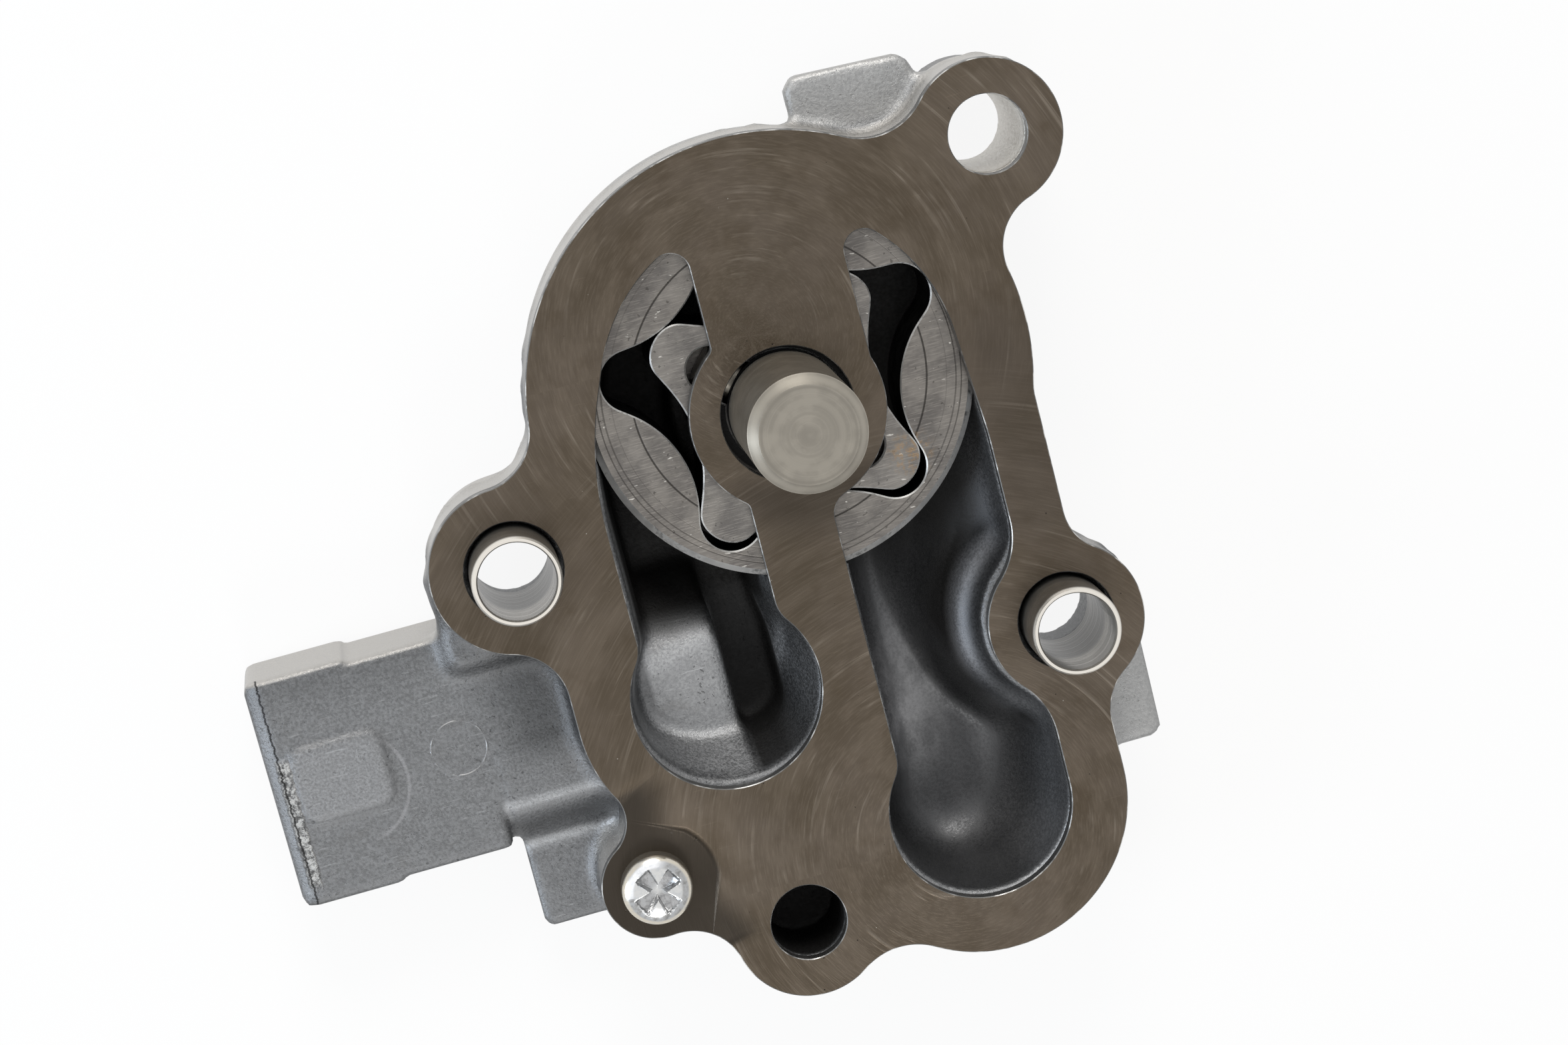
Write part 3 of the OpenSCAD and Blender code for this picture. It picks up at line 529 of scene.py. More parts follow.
def casting_marks(points):
    """Values painted on the casting: how much painted shade darkens its hollows, where the suction chamber's
    smooth surface is, which is also painted dark as its shade, how much its colour is made lighter or darker,
    mostly as painted light and shade, and which surfaces lie outside the plate's outline, where those that face
    the top light get painted light."""
    x, y, z = np.asarray(points, np.float32).T
    left, right = [polygon_distance(x, y, trace(window, 1.2, 40)) < 0 for window in (LEFT_WINDOW, RIGHT_WINDOW)]

    def hill(across, half):
        return np.exp(-(across / half) ** 2)

    # painted shade, near black, where the hollows lie in shade: rotor pocket, port, slot beside the hump and
    # below it, ramp, upper floor and gallery
    floor, ear = polygon_distance(x, y, FLOOR_EDGE[::3]), circle_distance(x, y, RIGHT_EAR, 0)
    oil = np.maximum.reduce([
        (np.hypot(x, y - ECC) < 22.4) * down(z, -10.2, 1.2),
        left * up(y, -24.0, 4.0) * down(z, -3.4, 2.5),
        0.90 * left * up(x, -13.7, 0.9) * down(z, -8.9, 2.0),
        0.94 * left * step_up(x + 13.3) * down(x, -4.6, 5.0) * down(y, -28.5, 3) * step_up(-1.9 - z),
        0.9 * right * down(z, -6.3, 2.0) * up(floor, -0.6, 1.6) * down(ear, 16.6, 3.5),
        0.85 * right * up(y, -29, 12) * down(z, -5, 3),
        (circle_distance(x, y, GALLERY, 4.6) < 0) * down(z, -1.9, 0.4)])
    # painted light and shade, as a factor on the colour: the hump and the walls above it lighter with a painted
    # highlight on its crest, painted shade on the left chamber's lower right wall and a painted highlight on
    # the slot's wall, painted highlights along the ramp's edges with painted shade between, the suction
    # chamber's painted shade lightened at its lower right, lower end and upper part, then painted shade on the
    # block's end beside the body, its pad lighter and the face darker towards its upper edge
    tone_and_painted_light = 1 + 0.75 * left * step_up(z + 9.8) * step_up(-13.0 - x) * down(z, -1.9, 2.0)
    tone_and_painted_light += 0.6 * left * hill(y + 25.2 - 0.2 * (x + 20), 1.3) * (x < -14) * (z < -1.9)
    tone_and_painted_light -= 0.35 * left * up(x, -9.5, 2) * down(y, -29, 4)
    tone_and_painted_light += 2.2 * left * hill(x + 6.9 - 0.15 * (y + 26.7), 0.55) * hill(y + 26.7, 2.4) * (z > -10)
    tone_and_painted_light += (x > -41.6) * (x < -24) * (y < -30) * (
        0.9 * hill(y + 36.5, 0.5) + hill(y + 42.6, 0.55) - 0.3 * hill(y + 39.6, 1.3))
    tone_and_painted_light += 1.1 * right * up(x, 11.5, 5) * down(y, -36, 5) + 0.35 * right * down(y, -51, 4)
    tone_and_painted_light += 0.5 * right * up(y, -36, 8)
    face = z > -8.6
    tone_and_painted_light *= 1 - 0.45 * face * up(x, -43, 8) * down(y, -17.5, 3) * up(y, -34, 5)
    tone_and_painted_light *= 1 + 0.30 * face * step_up(-box_distance(x, y, *PAD, 2.0) / 0.8)
    tone_and_painted_light *= 1 - 0.18 * face * (x < -30) * up(y, -22, 6)
    # painted light on the walls outside the plate's outline, below its face; the operator keeps it where they
    # face the top light
    side = up(polygon_distance(x, y, trace(OUTLINE, 0, 20)), -0.9, 0.4) * (z < -1.7)
    return {"oil": oil, "skin_and_shade": right * step_up(-1.7 - z), "tone_and_painted_light": tone_and_painted_light, "side": side}


def surface_net(values, origin, cell):
    """Closed surface where the values cross zero: one point for each cell that it passes through,
    the mean of the crossings on the cell's edges, and one quad for each grid edge that it crosses."""
    n = np.array(values.shape)
    low = values < 0
    mixed = np.zeros(n - 1, bool)
    corners = [np.array([i, j, k]) for i in (0, 1) for j in (0, 1) for k in (0, 1)]
    for i, j, k in corners:
        mixed |= low[i:n[0] - 1 + i, j:n[1] - 1 + j, k:n[2] - 1 + k] != low[:-1, :-1, :-1]
    at = np.argwhere(mixed)
    number = np.full(n - 1, -1, np.int32)
    number[mixed] = np.arange(len(at))
    total, hits = np.zeros((len(at), 3)), np.zeros(len(at))
    for a in corners:
        va = values[tuple((at + a).T)]
        for axis in range(3):
            if a[axis]:
                continue
            b = a.copy()
            b[axis] = 1
            vb = values[tuple((at + b).T)]
            cross = (va < 0) != (vb < 0)
            t = np.where(cross, va / np.where(cross, va - vb, 1), 0)
            point = a + t[:, None] * (b - a)
            total += point * cross[:, None]
            hits += cross
    points = origin + cell * (at + total / hits[:, None])
    quads = []
    for axis in range(3):
        u, v = (axis + 1) % 3, (axis + 2) % 3
        edge = np.argwhere(low != np.roll(low, -1, axis))
        edge = edge[(edge[:, axis] < n[axis] - 1) & (edge[:, u] > 0) & (edge[:, v] > 0)
                    & (edge[:, u] < n[u] - 1) & (edge[:, v] < n[v] - 1)]
        du, dv = np.eye(3, dtype=int)[u], np.eye(3, dtype=int)[v]
        q = np.stack([number[tuple((edge - o).T)] for o in (0 * du, du, du + dv, dv)], 1)
        flip = ~low[tuple(edge.T)]
        q[flip] = q[flip][:, ::-1]
        quads.append(q)
    return points, np.concatenate(quads)


# Materials

class Nodes:
    """Writes shader nodes in reading order. A value is a number, a tuple or another node's output,
    which is linked. A colour given as one number is a grey."""

    def __init__(self, tree):
        self.tree = tree

    def put(self, socket, value):
        """Sets a socket or links it."""
        if isinstance(value, bpy.types.NodeSocket):
            self.tree.links.new(value, socket)
        elif socket.type == "RGBA":
            socket.default_value = (*(value if isinstance(value, tuple) else 3 * (value,)), 1)
        else:
            socket.default_value = value

    def add(self, kind, inputs=(), **settings):
        """A node with its settings and with inputs given by name or number."""
        node = self.tree.nodes.new(kind)
        for key, value in settings.items():
            setattr(node, key, value)
        for key, value in dict(inputs).items():
            self.put(node.inputs[key], value)
        return node

    def math(self, operation, *values):
        return self.add("ShaderNodeMath", enumerate(values), operation=operation).outputs[0]

    def times(self, *values):
        product = values[0]
        for value in values[1:]:
            product = self.math("MULTIPLY", product, value)
        return product

    def sum(self, a, b):
        return self.math("ADD", a, b)

    def less(self, a, b):
        return self.math("SUBTRACT", a, b)

    def off(self, value, middle):
        """How far a value is from the middle, to either side."""
        return self.math("ABSOLUTE", self.less(value, middle))

    def ramp(self, value, low, high, out_low=0.0, out_high=1.0, smooth=True):
        inputs = {"Value": value, "From Min": low, "From Max": high, "To Min": out_low, "To Max": out_high}
        kind = "SMOOTHSTEP" if smooth else "LINEAR"
        return self.add("ShaderNodeMapRange", inputs, interpolation_type=kind).outputs["Result"]

    def mix(self, factor, a, b):
        """One colour turned into another. Of the node's sockets, 6 and 7 are the colours."""
        return self.add("ShaderNodeMix", data_type="RGBA", inputs={0: factor, 6: a, 7: b}).outputs[2]

    def noise(self, vector, scale, detail=4.0, roughness=0.5):
        inputs = {"Vector": vector, "Scale": scale, "Detail": detail, "Roughness": roughness}
        return self.add("ShaderNodeTexNoise", inputs).outputs["Fac"]

    def mapped(self, vector, scale=(1, 1, 1), location=(0, 0, 0), rotation=(0, 0, 0)):
        inputs = {"Vector": vector, "Scale": scale, "Location": location, "Rotation": rotation}
        return self.add("ShaderNodeMapping", inputs).outputs["Vector"]

    def vector(self, operation, a, b):
        """Vector arithmetic, where scaling takes a number from the socket called Scale."""
        second = "Scale" if operation == "SCALE" else 1
        return self.add("ShaderNodeVectorMath", operation=operation, inputs={0: a, second: b}).outputs[0]

    def parts(self, vector):
        return self.add("ShaderNodeSeparateXYZ", {0: vector}).outputs

    def total(self, *terms):
        """Sum of values, each with its weight."""
        sums = self.times(*terms[0])
        for term in terms[1:]:
            sums = self.sum(sums, self.times(*term))
        return sums

    def length(self, u, v):
        return self.math("SQRT", self.sum(self.times(u, u), self.times(v, v)))

    def mark(self, name):
        """A value painted on the mesh."""
        return self.add("ShaderNodeAttribute", attribute_name=name).outputs["Fac"]

    def group(self, name, build, **values):
        """Places a shader node group that is made once. build gets the group's nodes and its inputs
        and returns its one output, a value."""
        if name not in bpy.data.node_groups:
            tree = bpy.data.node_groups.new(name, "ShaderNodeTree")
            for title, value in values.items():
                plain = isinstance(value, float) or getattr(value, "type", "") == "VALUE"
                kind = "NodeSocketFloat" if plain else "NodeSocketVector"
                tree.interface.new_socket(name=title, in_out="INPUT", socket_type=kind)
            tree.interface.new_socket(name="Value", in_out="OUTPUT", socket_type="NodeSocketFloat")
            inner = Nodes(tree)
            inlet = inner.add("NodeGroupInput").outputs
            inner.add("NodeGroupOutput", {"Value": build(inner, inlet)})
        tree = bpy.data.node_groups[name]
        return self.add("ShaderNodeGroup", values, node_tree=tree).outputs["Value"]

    def polar(self, place, centre=(0.0, 0.0)):
        """Distance from an upright axis through centre, and the angle round it."""
        x, y, _ = self.parts(place)
        dx, dy = self.less(x, centre[0]), self.less(y, centre[1])
        return self.length(dx, dy), self.math("ARCTAN2", dy, dx)

    def zone(self, *ramps):
        """Product of ramps, each as (value, low, high)."""
        return self.times(*[self.ramp(*r) for r in ramps])

    def arc_streaks(self, place, centre, across, along, low, high):
        """Streaks that run along circles about a centre, as a turning face grinder leaves them."""
        def build(g, inlet):
            radius, angle = g.polar(g.vector("SUBTRACT", inlet["Place"], inlet["Centre"]))
            way = {0: g.times(radius, inlet["Across"]), 1: g.times(angle, inlet["Along"])}
            streaks = g.noise(g.add("ShaderNodeCombineXYZ", way).outputs[0], 1.0, 3, 0.6)
            return g.ramp(streaks, inlet["Low"], inlet["High"])

        return self.group("arc_streaks", build, Place=place, Centre=(*centre, 0.0), Across=across, Along=along,
                          Low=low, High=high)

    def pits(self, place, scale, amount):
        """Small scattered spots, 1 in a spot and 0 beside it."""
        def build(g, inlet):
            start = g.less(0.82, inlet["Amount"])
            return g.ramp(g.noise(inlet["Place"], inlet["Scale"], 2.0), start, g.sum(start, 0.04))

        return self.group("pits", build, Place=place, Scale=scale, Amount=amount)


class Finish(Nodes):
    """A Principled material that is built up coat by coat. place holds the Object coordinates in
    millimetres, and tints are given against the base colour."""

    def __init__(self, name, base):
        self.material = bpy.data.materials.new(name)
        self.material.use_nodes = True
        super().__init__(self.material.node_tree)
        self.tree.nodes.clear()
        self.shader = self.add("ShaderNodeBsdfPrincipled")
        self.add("ShaderNodeOutputMaterial", {"Surface": self.shader.outputs["BSDF"]})
        self.base, self.colour = np.array(base), (0, 0, 0)
        self.place = self.vector("SCALE", self.add("ShaderNodeTexCoord").outputs["Object"], 1 / MM)

    def tint(self, *shares, most=None):
        """The base colour times one share, or three."""
        return tuple(np.minimum(self.base * np.array(shares), most or np.inf))

    def coat(self, mask, colour, strength=None):
        """Puts a colour over those before it, where the mask is up."""
        self.colour = self.mix(mask if strength is None else self.times(mask, strength), self.colour, colour)

    def done(self, metallic, rough, height, strength, depth=0.00005):
        """Joins colour, metal, roughness and a bump of the given height to the shader."""
        bump = {"Strength": strength, "Distance": depth, "Height": height}
        inputs = {"Base Color": self.colour, "Metallic": metallic, "Roughness": rough,
                  "Normal": self.add("ShaderNodeBump", bump).outputs["Normal"]}
        for key, value in inputs.items():
            self.put(self.shader.inputs[key], value)
        return self.material


def cast_metal(looks):
    """As-cast light alloy: fine grain with dark pits, soft stains, painted shade in the hollows and painted
    light and shade over the faces, with an ejector's ring painted lighter as a highlight, a line of flash on
    the valve block, and the top ear's bright machined bore, which is painted lighter also for the light through
    the hole."""
    n = Finish("cast_alloy", looks.cast_colour)
    place = n.place
    x, y, z = n.parts(place)
    oil, skin_and_shade, tone_and_painted_light = n.mark("oil"), n.mark("skin_and_shade"), n.mark("tone_and_painted_light")
    grain, coarse = n.noise(place, 3.2, 4, 0.6), n.noise(place, 0.5, 4, 0.55)
    stain = n.noise(n.mapped(place, (1, 1.4, 1), (7, 3, 0)), 0.14, 5, 0.6)
    spots = n.times(n.pits(place, 1.9, 0.15), n.ramp(n.noise(place, 0.11, 3, 0.5), 0.40, 0.60, 0.25, 1.0))
    n.colour = n.mix(n.ramp(grain, 0.34, 0.68), n.tint(0.80), n.tint(1.24))
    n.coat(n.ramp(coarse, 0.42, 0.68, 0, 0.25), n.tint(0.80))
    n.coat(n.ramp(stain, 0.56, 0.72, 0, 0.22), (0.10, 0.095, 0.09))
    n.coat(spots, 0.04, 0.5)
    scratches = n.noise(n.mapped(place, (0.35, 4.0, 1), rotation=(0, 0, -0.75)), 1.0, 2, 0.5)
    n.coat(n.ramp(scratches, 0.66, 0.72), n.tint(1.9), 0.35)
    # the painted light and shade scale the colour
    n.colour = n.vector("SCALE", n.colour, tone_and_painted_light)
    # painted light: walls outside the plate that face the top light are painted light grey
    n.coat(n.mark("side"), n.mix(grain, (0.46, 0.445, 0.42), (0.64, 0.62, 0.59)), 0.85)
    # blasted faces of the gate tabs
    top_tab = n.zone((y, 27.0, 28.5), (x, 25.5, 24.5))
    right_tab = n.zone((x, 25.8, 26.6), (y, -36.0, -36.8))
    tab = n.times(n.math("MAXIMUM", top_tab, right_tab), n.ramp(z, -6.2, -6.6))
    n.coat(tab, n.mix(grain, 0.26, (0.58, 0.58, 0.57)), 0.65)
    # ring left by an ejector pin: a ridge in the bump, painted lighter as the highlight along it
    radius = n.polar(place, (-44.7, -28.4))[0]
    broken = n.noise(n.mapped(place, location=(5, 0, 2)), 0.55, 3, 0.6)
    ejector = n.zone((n.off(radius, 3.14), 0.13, 0.02), (broken, 0.42, 0.60, 0.05, 1.0), (z, -7.2, -6.9))
    n.coat(ejector, 0.42, 0.6)
    # soft pale arc round the pad's lower right corner
    radius = n.polar(place, (-57.6, -29.6))[0]
    halo = n.zone((n.off(radius, 6.6), 0.30, 0.05), (x, -57.0, -54.5), (y, -24.0, -27.0), (z, -7.2, -6.9))
    n.coat(halo, (0.34, 0.34, 0.35), 0.35)
    # line of flash along the block's bevelled end: a dark crack, a torn bright strip
    wave = n.noise(n.mapped(place, (0.2, 1.3, 0)), 1.0, 4, 0.7)
    line = n.sum(n.less(x, -64.55), n.times(n.less(wave, 0.5), 0.9))
    end = n.zone((x, -62.0, -62.5), (z, -8.2, -7.8))
    torn = n.times(end, n.zone((y, -24.0, -25.2), (y, -40.0, -38.8), (line, -0.5, -0.1), (line, 1.25, 0.95)))
    ragged = n.noise(place, 1.6, 5, 0.75)
    n.coat(torn, n.mix(n.ramp(ragged, 0.4, 0.6), 0.09, (0.48, 0.48, 0.47)))
    n.coat(n.times(n.ramp(n.math("ABSOLUTE", line), 0.17, 0.05), end), 0.015, 0.9)
    # machined bore of the top ear: bright metal, painted lighter also for the light that comes through the hole
    radius = n.polar(place, TOP_EAR)[0]
    n.coat(n.ramp(radius, 4.75, 4.6), (0.70, 0.68, 0.64))
    # skin of the suction chamber: smooth, and painted dark as the chamber's shade, with a painted cloudy
    # highlight where the light falls beside the strut
    cloud = n.noise(n.mapped(place, (0.5, 0.28, 0.3), rotation=(0, 0, 0.5)), 1.0, 5, 0.6)
    radius = n.polar(n.mapped(place, (1, 0.62, 1)), (4.6, -24.0))[0]
    sheen = n.zone((radius, 7.5, 0.5), (cloud, 0.36, 0.62, 0.45, 1.0))
    smooth = n.mix(cloud, (0.050, 0.051, 0.053), (0.088, 0.089, 0.092))
    smooth = n.mix(sheen, smooth, (0.24, 0.24, 0.245))
    # painted highlight where the light falls on the round shoulder of the dowel's boss
    radius = n.polar(place, RIGHT_EAR)[0]
    shoulder = n.zone((radius, 10.0, 11.4), (radius, 13.0, 11.9), (x, 22.0, 15.0), (y, -39.0, -33.0))
    smooth = n.mix(shoulder, smooth, (0.30, 0.305, 0.32))
    # the painted shade and highlights of the suction chamber go over its skin
    n.coat(skin_and_shade, n.vector("SCALE", smooth, tone_and_painted_light), 0.97)
    # painted shade, near black, over the hollows that lie in shade
    n.coat(oil, (0.0045, 0.0040, 0.0035), 0.97)
    rough = n.total((n.ramp(grain, 0.3, 0.7, 0.36, 0.56),), (skin_and_shade, 0.02), (oil, 0.15))
    height = n.total((grain, 1.1), (coarse,), (spots, -0.8), (ejector, 1.2), (torn, ragged, 6.0))
    height = n.times(height, n.less(1.0, n.times(skin_and_shade, 0.88)))
    n.put(n.shader.inputs["Specular IOR Level"], 0.35)
    return n.done(n.ramp(oil, 0.3, 0.9, 0.8, 0.3), rough, height, 0.6, 0.00012)


def ground_plate(looks):
    """Ground steel with a brown cast: curved grinding marks in patches about two centres, smears,
    fine scratches, dark specks, and a darker coined seat."""
    n = Finish("ground_plate", looks.plate_colour)
    place = n.place
    x, y, z = n.parts(place)
    smear = n.noise(n.mapped(place, (0.35, 0.12, 1), rotation=(0, 0, 0.5)), 1.0, 4, 0.65)
    upper = n.ramp(n.sum(y, n.times(smear, 16.0)), 0.0, 9.0)

    def both(*streaks):
        """Marks about the upper centre near the rotors and the lower one near the right chamber."""
        a, b = [n.arc_streaks(place, at, *streaks) for at in ((-2.0, 9.0), (7.0, -52.0))]
        return n.ramp(upper, 0.0, 1.0, b, a, smooth=False)

    fine = both(4.5, 9.0, 0.42, 0.72)
    broad = both(0.35, 2.6, 0.42, 0.66)
    patch = n.ramp(n.noise(n.mapped(place, location=(11, 4, 0)), 0.10, 3, 0.55), 0.44, 0.58)
    lines = n.times(both(1.5, 1.1, 0.54, 0.70), patch)
    tone_and_painted_light = n.ramp(n.noise(place, 0.07, 4, 0.6), 0.36, 0.64)
    n.colour = n.mix(tone_and_painted_light, n.tint(0.86, 0.84, 0.80), n.tint(1.12, 1.12, 1.16))
    n.coat(broad, n.tint(1.5, 1.52, 1.58), 0.28)
    n.coat(fine, n.tint(1.9, 1.95, 2.05), 0.22)
    n.coat(lines, n.tint(2.6, 2.8, 3.1), 0.42)
    worn = n.noise(n.mapped(place, location=(3, 29, 0)), 0.16, 4, 0.6)
    n.coat(n.ramp(worn, 0.52, 0.70, 0, 0.35), n.tint(0.70, 0.64, 0.55))
    # scratches, bright nicks and dark specks
    scratches = n.noise(n.mapped(place, (0.22, 3.2, 1), rotation=(0, 0, 0.9)), 1.0, 2, 0.5)
    n.coat(n.ramp(scratches, 0.70, 0.735), n.tint(2.2), 0.12)
    n.coat(n.pits(place, 1.3, 0.06), (0.42, 0.40, 0.36), 0.8)
    specks = n.pits(n.mapped(place, location=(31, 17, 0)), 1.2, 0.075)
    n.coat(specks, (0.012, 0.010, 0.008), 0.9)
    # shade on the right flank and below the shaft, and the coined seat
    flank = n.zone((x, 15.0, 24.0), (y, 10.0, 0.0), (y, -24.0, -18.0))
    n.coat(flank, n.tint(0.55, 0.56, 0.60), 0.45)
    radius = n.polar(place, (HUB[0] + 1, HUB[1] - 3))[0]
    n.coat(n.zone((radius, 13.0, 8.0), (y, -5.0, -9.0)), n.tint(0.36), 0.6)
    n.coat(n.zone((z, -0.03, -0.3), (z, -1.0, -0.7)), n.tint(0.40, 0.41, 0.43), 0.95)
    rough = n.sum(n.ramp(broad, 0.0, 1.0, 0.34, 0.44), n.times(fine, 0.06))
    return n.done(0.85, rough, n.total((lines,), (fine, 0.5), (specks, -2.0)), 0.3)


def bright_edge(name, colour, share, dull=0.25):
    """Steel along an edge or wall. share is how much of it is bright, and dull how light the rest is. On the
    chamfers the bright colour is fresh steel, painted lighter also as the highlight that the edges catch.
    """
    n = Finish(name, colour)
    noise = n.noise(n.place, 0.22 + share * 0.5, 3, 0.6)
    n.colour = n.mix(n.ramp(noise, 0.56 - share * 0.3, 0.76 - share * 0.3), n.tint(dull), n.tint(1))
    return n.done(0.9, n.ramp(noise, 0.3, 0.7, 0.5, 0.32), noise, 0.3)


def rotor_metal(name, colour, rings=()):
    """Sintered and lapped steel: short dashes across the face, pits, clouds and scribed rings.
    rings lists (radius, half width, darkness) about the outer rotor's axis."""
    n = Finish(name, colour)
    place = n.place
    dash, broad = [n.noise(n.mapped(place, scale, rotation=(0, 0, 0.25)), 1.0, 3, 0.6)
                   for scale in ((0.55, 7.5, 0.5), (0.14, 1.6, 0.1))]
    spots = n.pits(place, 1.6, 0.13)
    glint = n.pits(n.mapped(place, (0.45, 1.3, 1), (9, 5, 0), (0, 0, 0.25)), 1.7, 0.12)
    n.colour = n.mix(n.ramp(n.noise(place, 0.22, 5, 0.62), 0.36, 0.66), n.tint(0.72, 0.72, 0.74), n.tint(1.18))
    n.coat(n.ramp(dash, 0.48, 0.72, 0, 0.55), n.tint(1.75))
    n.coat(n.ramp(broad, 0.52, 0.74, 0, 0.30), n.tint(0.55))
    n.coat(spots, n.tint(0.30), 0.6)
    n.coat(glint, (0.62, 0.60, 0.56), 0.75)
    radius = n.polar(place, (0, ECC))[0]
    height = n.total((dash, 1.4), (spots, -1.2))
    for r, half, dark in rings:
        groove = n.times(n.ramp(n.off(radius, r), half, half * 0.35), dark)
        n.coat(groove, n.tint(0.16))
        height = n.less(height, n.times(groove, 3.0))
    # rust in one lobe, and painted shade, near black, on the ring round the shaft under the hub
    radius = n.polar(place, (12.2, -8.6))[0]
    rust = n.zone((radius, 3.4, 1.0), (n.noise(place, 1.6, 4, 0.7), 0.46, 0.6))
    n.coat(rust, (0.30, 0.19, 0.09), 0.55)
    radius = n.polar(place, (0, 0))[0]
    n.coat(n.ramp(radius, 8.1, 7.5), 0.006)
    return n.done(0.88, n.ramp(dash, 0.3, 0.8, 0.32, 0.46), height, 0.35)


def turned_steel(name, colour, axis=2, centre=(0, 0, 0), rough=(0.4, 0.25), end_rings=(), front=None):
    """Turned steel: fine rings about an axis of the object, on its end faces and round its wall.
    end_rings lists (radius, half width, brightness) of wider rings on the end face; with them the wall near and
    below the plate's face is painted near black as shade in the hole. front is the height above which the rim
    is painted bright as a highlight, and then the wall down in the hole is painted darker as shade."""
    n = Finish(name, colour)
    parts = n.parts(n.mapped(n.place, location=tuple(-c for c in centre)))
    u, v = [parts[i] for i in range(3) if i != axis]
    w, radius = parts[axis], n.length(u, v)
    way = n.add("ShaderNodeCombineXYZ", {0: n.times(radius, 1.6), 1: n.times(w, 3.0)})
    fine_rings = n.noise(way.outputs[0], 1.0, 4, 0.65)
    n.colour = n.mix(n.ramp(n.noise(n.place, 0.5, 3, 0.5), 0.38, 0.66), n.tint(0.9), n.tint(1.08))
    n.coat(n.ramp(fine_rings, 0.48, 0.75, 0, 0.5), n.tint(1.4, most=0.9))
    for r, half, bright in end_rings:
        n.coat(n.ramp(n.off(radius, r), half, half * 0.2), n.tint(bright, most=0.95), 0.6)
    if end_rings:
        # painted shade: the wall near and below the plate's face, down in the hole, near black
        n.coat(n.ramp(w, 0.4, -0.6), 0.008)
    if front:
        # painted highlight on the front rim, and painted shade on the wall down in the hole
        n.coat(n.ramp(w, front - 0.15, front), n.tint(2.4, most=0.9))
        n.coat(n.ramp(w, 0.9, -0.3), n.tint(0.25))
    return n.done(0.9, n.ramp(fine_rings, 0.3, 0.7, *rough), fine_rings, 0.2)


def plated_head(looks):
    """Bright zinc: a cream rim, a darker band that is a painted reflection of dark surroundings, with a painted
    highlight arc inside it, and painted shade on the walls in the recess.
    """
    n = Finish("plated_screw", looks.zinc_colour)
    radius, angle = n.polar(n.place, SCREW)
    deep, cloud = n.mark("deep"), n.noise(n.place, 1.4, 4, 0.6)
    band = n.zone((radius, 2.55, 2.9), (radius, 3.6, 3.3))
    n.colour = n.mix(n.ramp(radius, 3.3, 3.6), n.tint(1), n.tint(0.95, 0.88, 0.76))
    # painted reflection: the band darkened as dark surroundings seen in the zinc
    n.coat(band, n.tint(0.30), n.ramp(cloud, 0.3, 0.6, 0.9, 0.5))
    # painted highlight: a light arc in the band, on the upper left
    n.coat(band, (0.95, 0.96, 0.98), n.ramp(n.off(angle, 2.2), 1.3, 0.7))
    n.coat(n.ramp(cloud, 0.40, 0.68, 0, 0.35), n.tint(0.55, 0.60, 0.68))
    # painted shade on the walls of the recess
    walls = n.zone((deep, 0.04, 0.2), (deep, 0.97, 0.8))
    n.coat(walls, (0.12, 0.12, 0.13), n.ramp(cloud, 0.35, 0.6, 0.7, 0.25))
    return n.done(0.9, n.ramp(cloud, 0.3, 0.7, 0.14, 0.26), cloud, 0.2)


# Settings that a user would change

def colour_setting(name, description, default):
    return FloatVectorProperty(name=name, description=description, subtype="COLOR", size=3, default=default)


def length_setting(name, description, default, low, high):
    return FloatProperty(name=name, description=description + " in mm", default=default, min=low, max=high)


class PumpLooks(bpy.types.PropertyGroup):
    """Colours of the finishes."""
    cast_colour: colour_setting("Casting", "Die casting", (0.165, 0.168, 0.172))
    plate_colour: colour_setting("Plate", "Ground plate", (0.091, 0.073, 0.054))
    # fresh steel on the chamfers, painted lighter also as the highlight the edges catch
    edge_colour: colour_setting("Edges", "Fresh steel edges", (0.58, 0.575, 0.56))
    outer_colour: colour_setting("Outer", "Outer rotor", (0.172, 0.160, 0.146))
    inner_colour: colour_setting("Inner", "Inner rotor", (0.185, 0.174, 0.160))
    steel_colour: colour_setting("Shaft", "Turned steel", (0.26, 0.24, 0.205))
    sleeve_colour: colour_setting("Dowels", "Hollow dowels", (0.30, 0.285, 0.26))
    zinc_colour: colour_setting("Screw", "Plated screw", (0.66, 0.66, 0.65))


class PumpSizes(bpy.types.PropertyGroup):
    """Fineness and edge sizes of the detailed surfaces, in millimetres."""
    cell: length_setting("Casting cell", "Grid size of the casting", 0.5, 0.35, 1.5)
    plate_edge: length_setting("Plate edge", "Chamfer along the plate's edges", 0.10, 0.05, 0.4)
    rotor_edge: length_setting("Rotor edge", "Chamfer along the rotors' teeth", 0.16, 0.05, 0.3)
    rim_edge: length_setting("Rim chamfer", "Chamfer round the outer rotor", 0.7, 0.2, 1.0)
    coin_depth: length_setting("Seat depth", "Depth of the screw's coined seat", 0.4, 0.1, 0.8)


QUICK_CELL, CAST_TRIANGLES = 0.9, 185000


def dress(node, material):
    """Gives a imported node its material."""
    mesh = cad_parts[node].data
    mesh.materials.clear()
    mesh.materials.append(material)


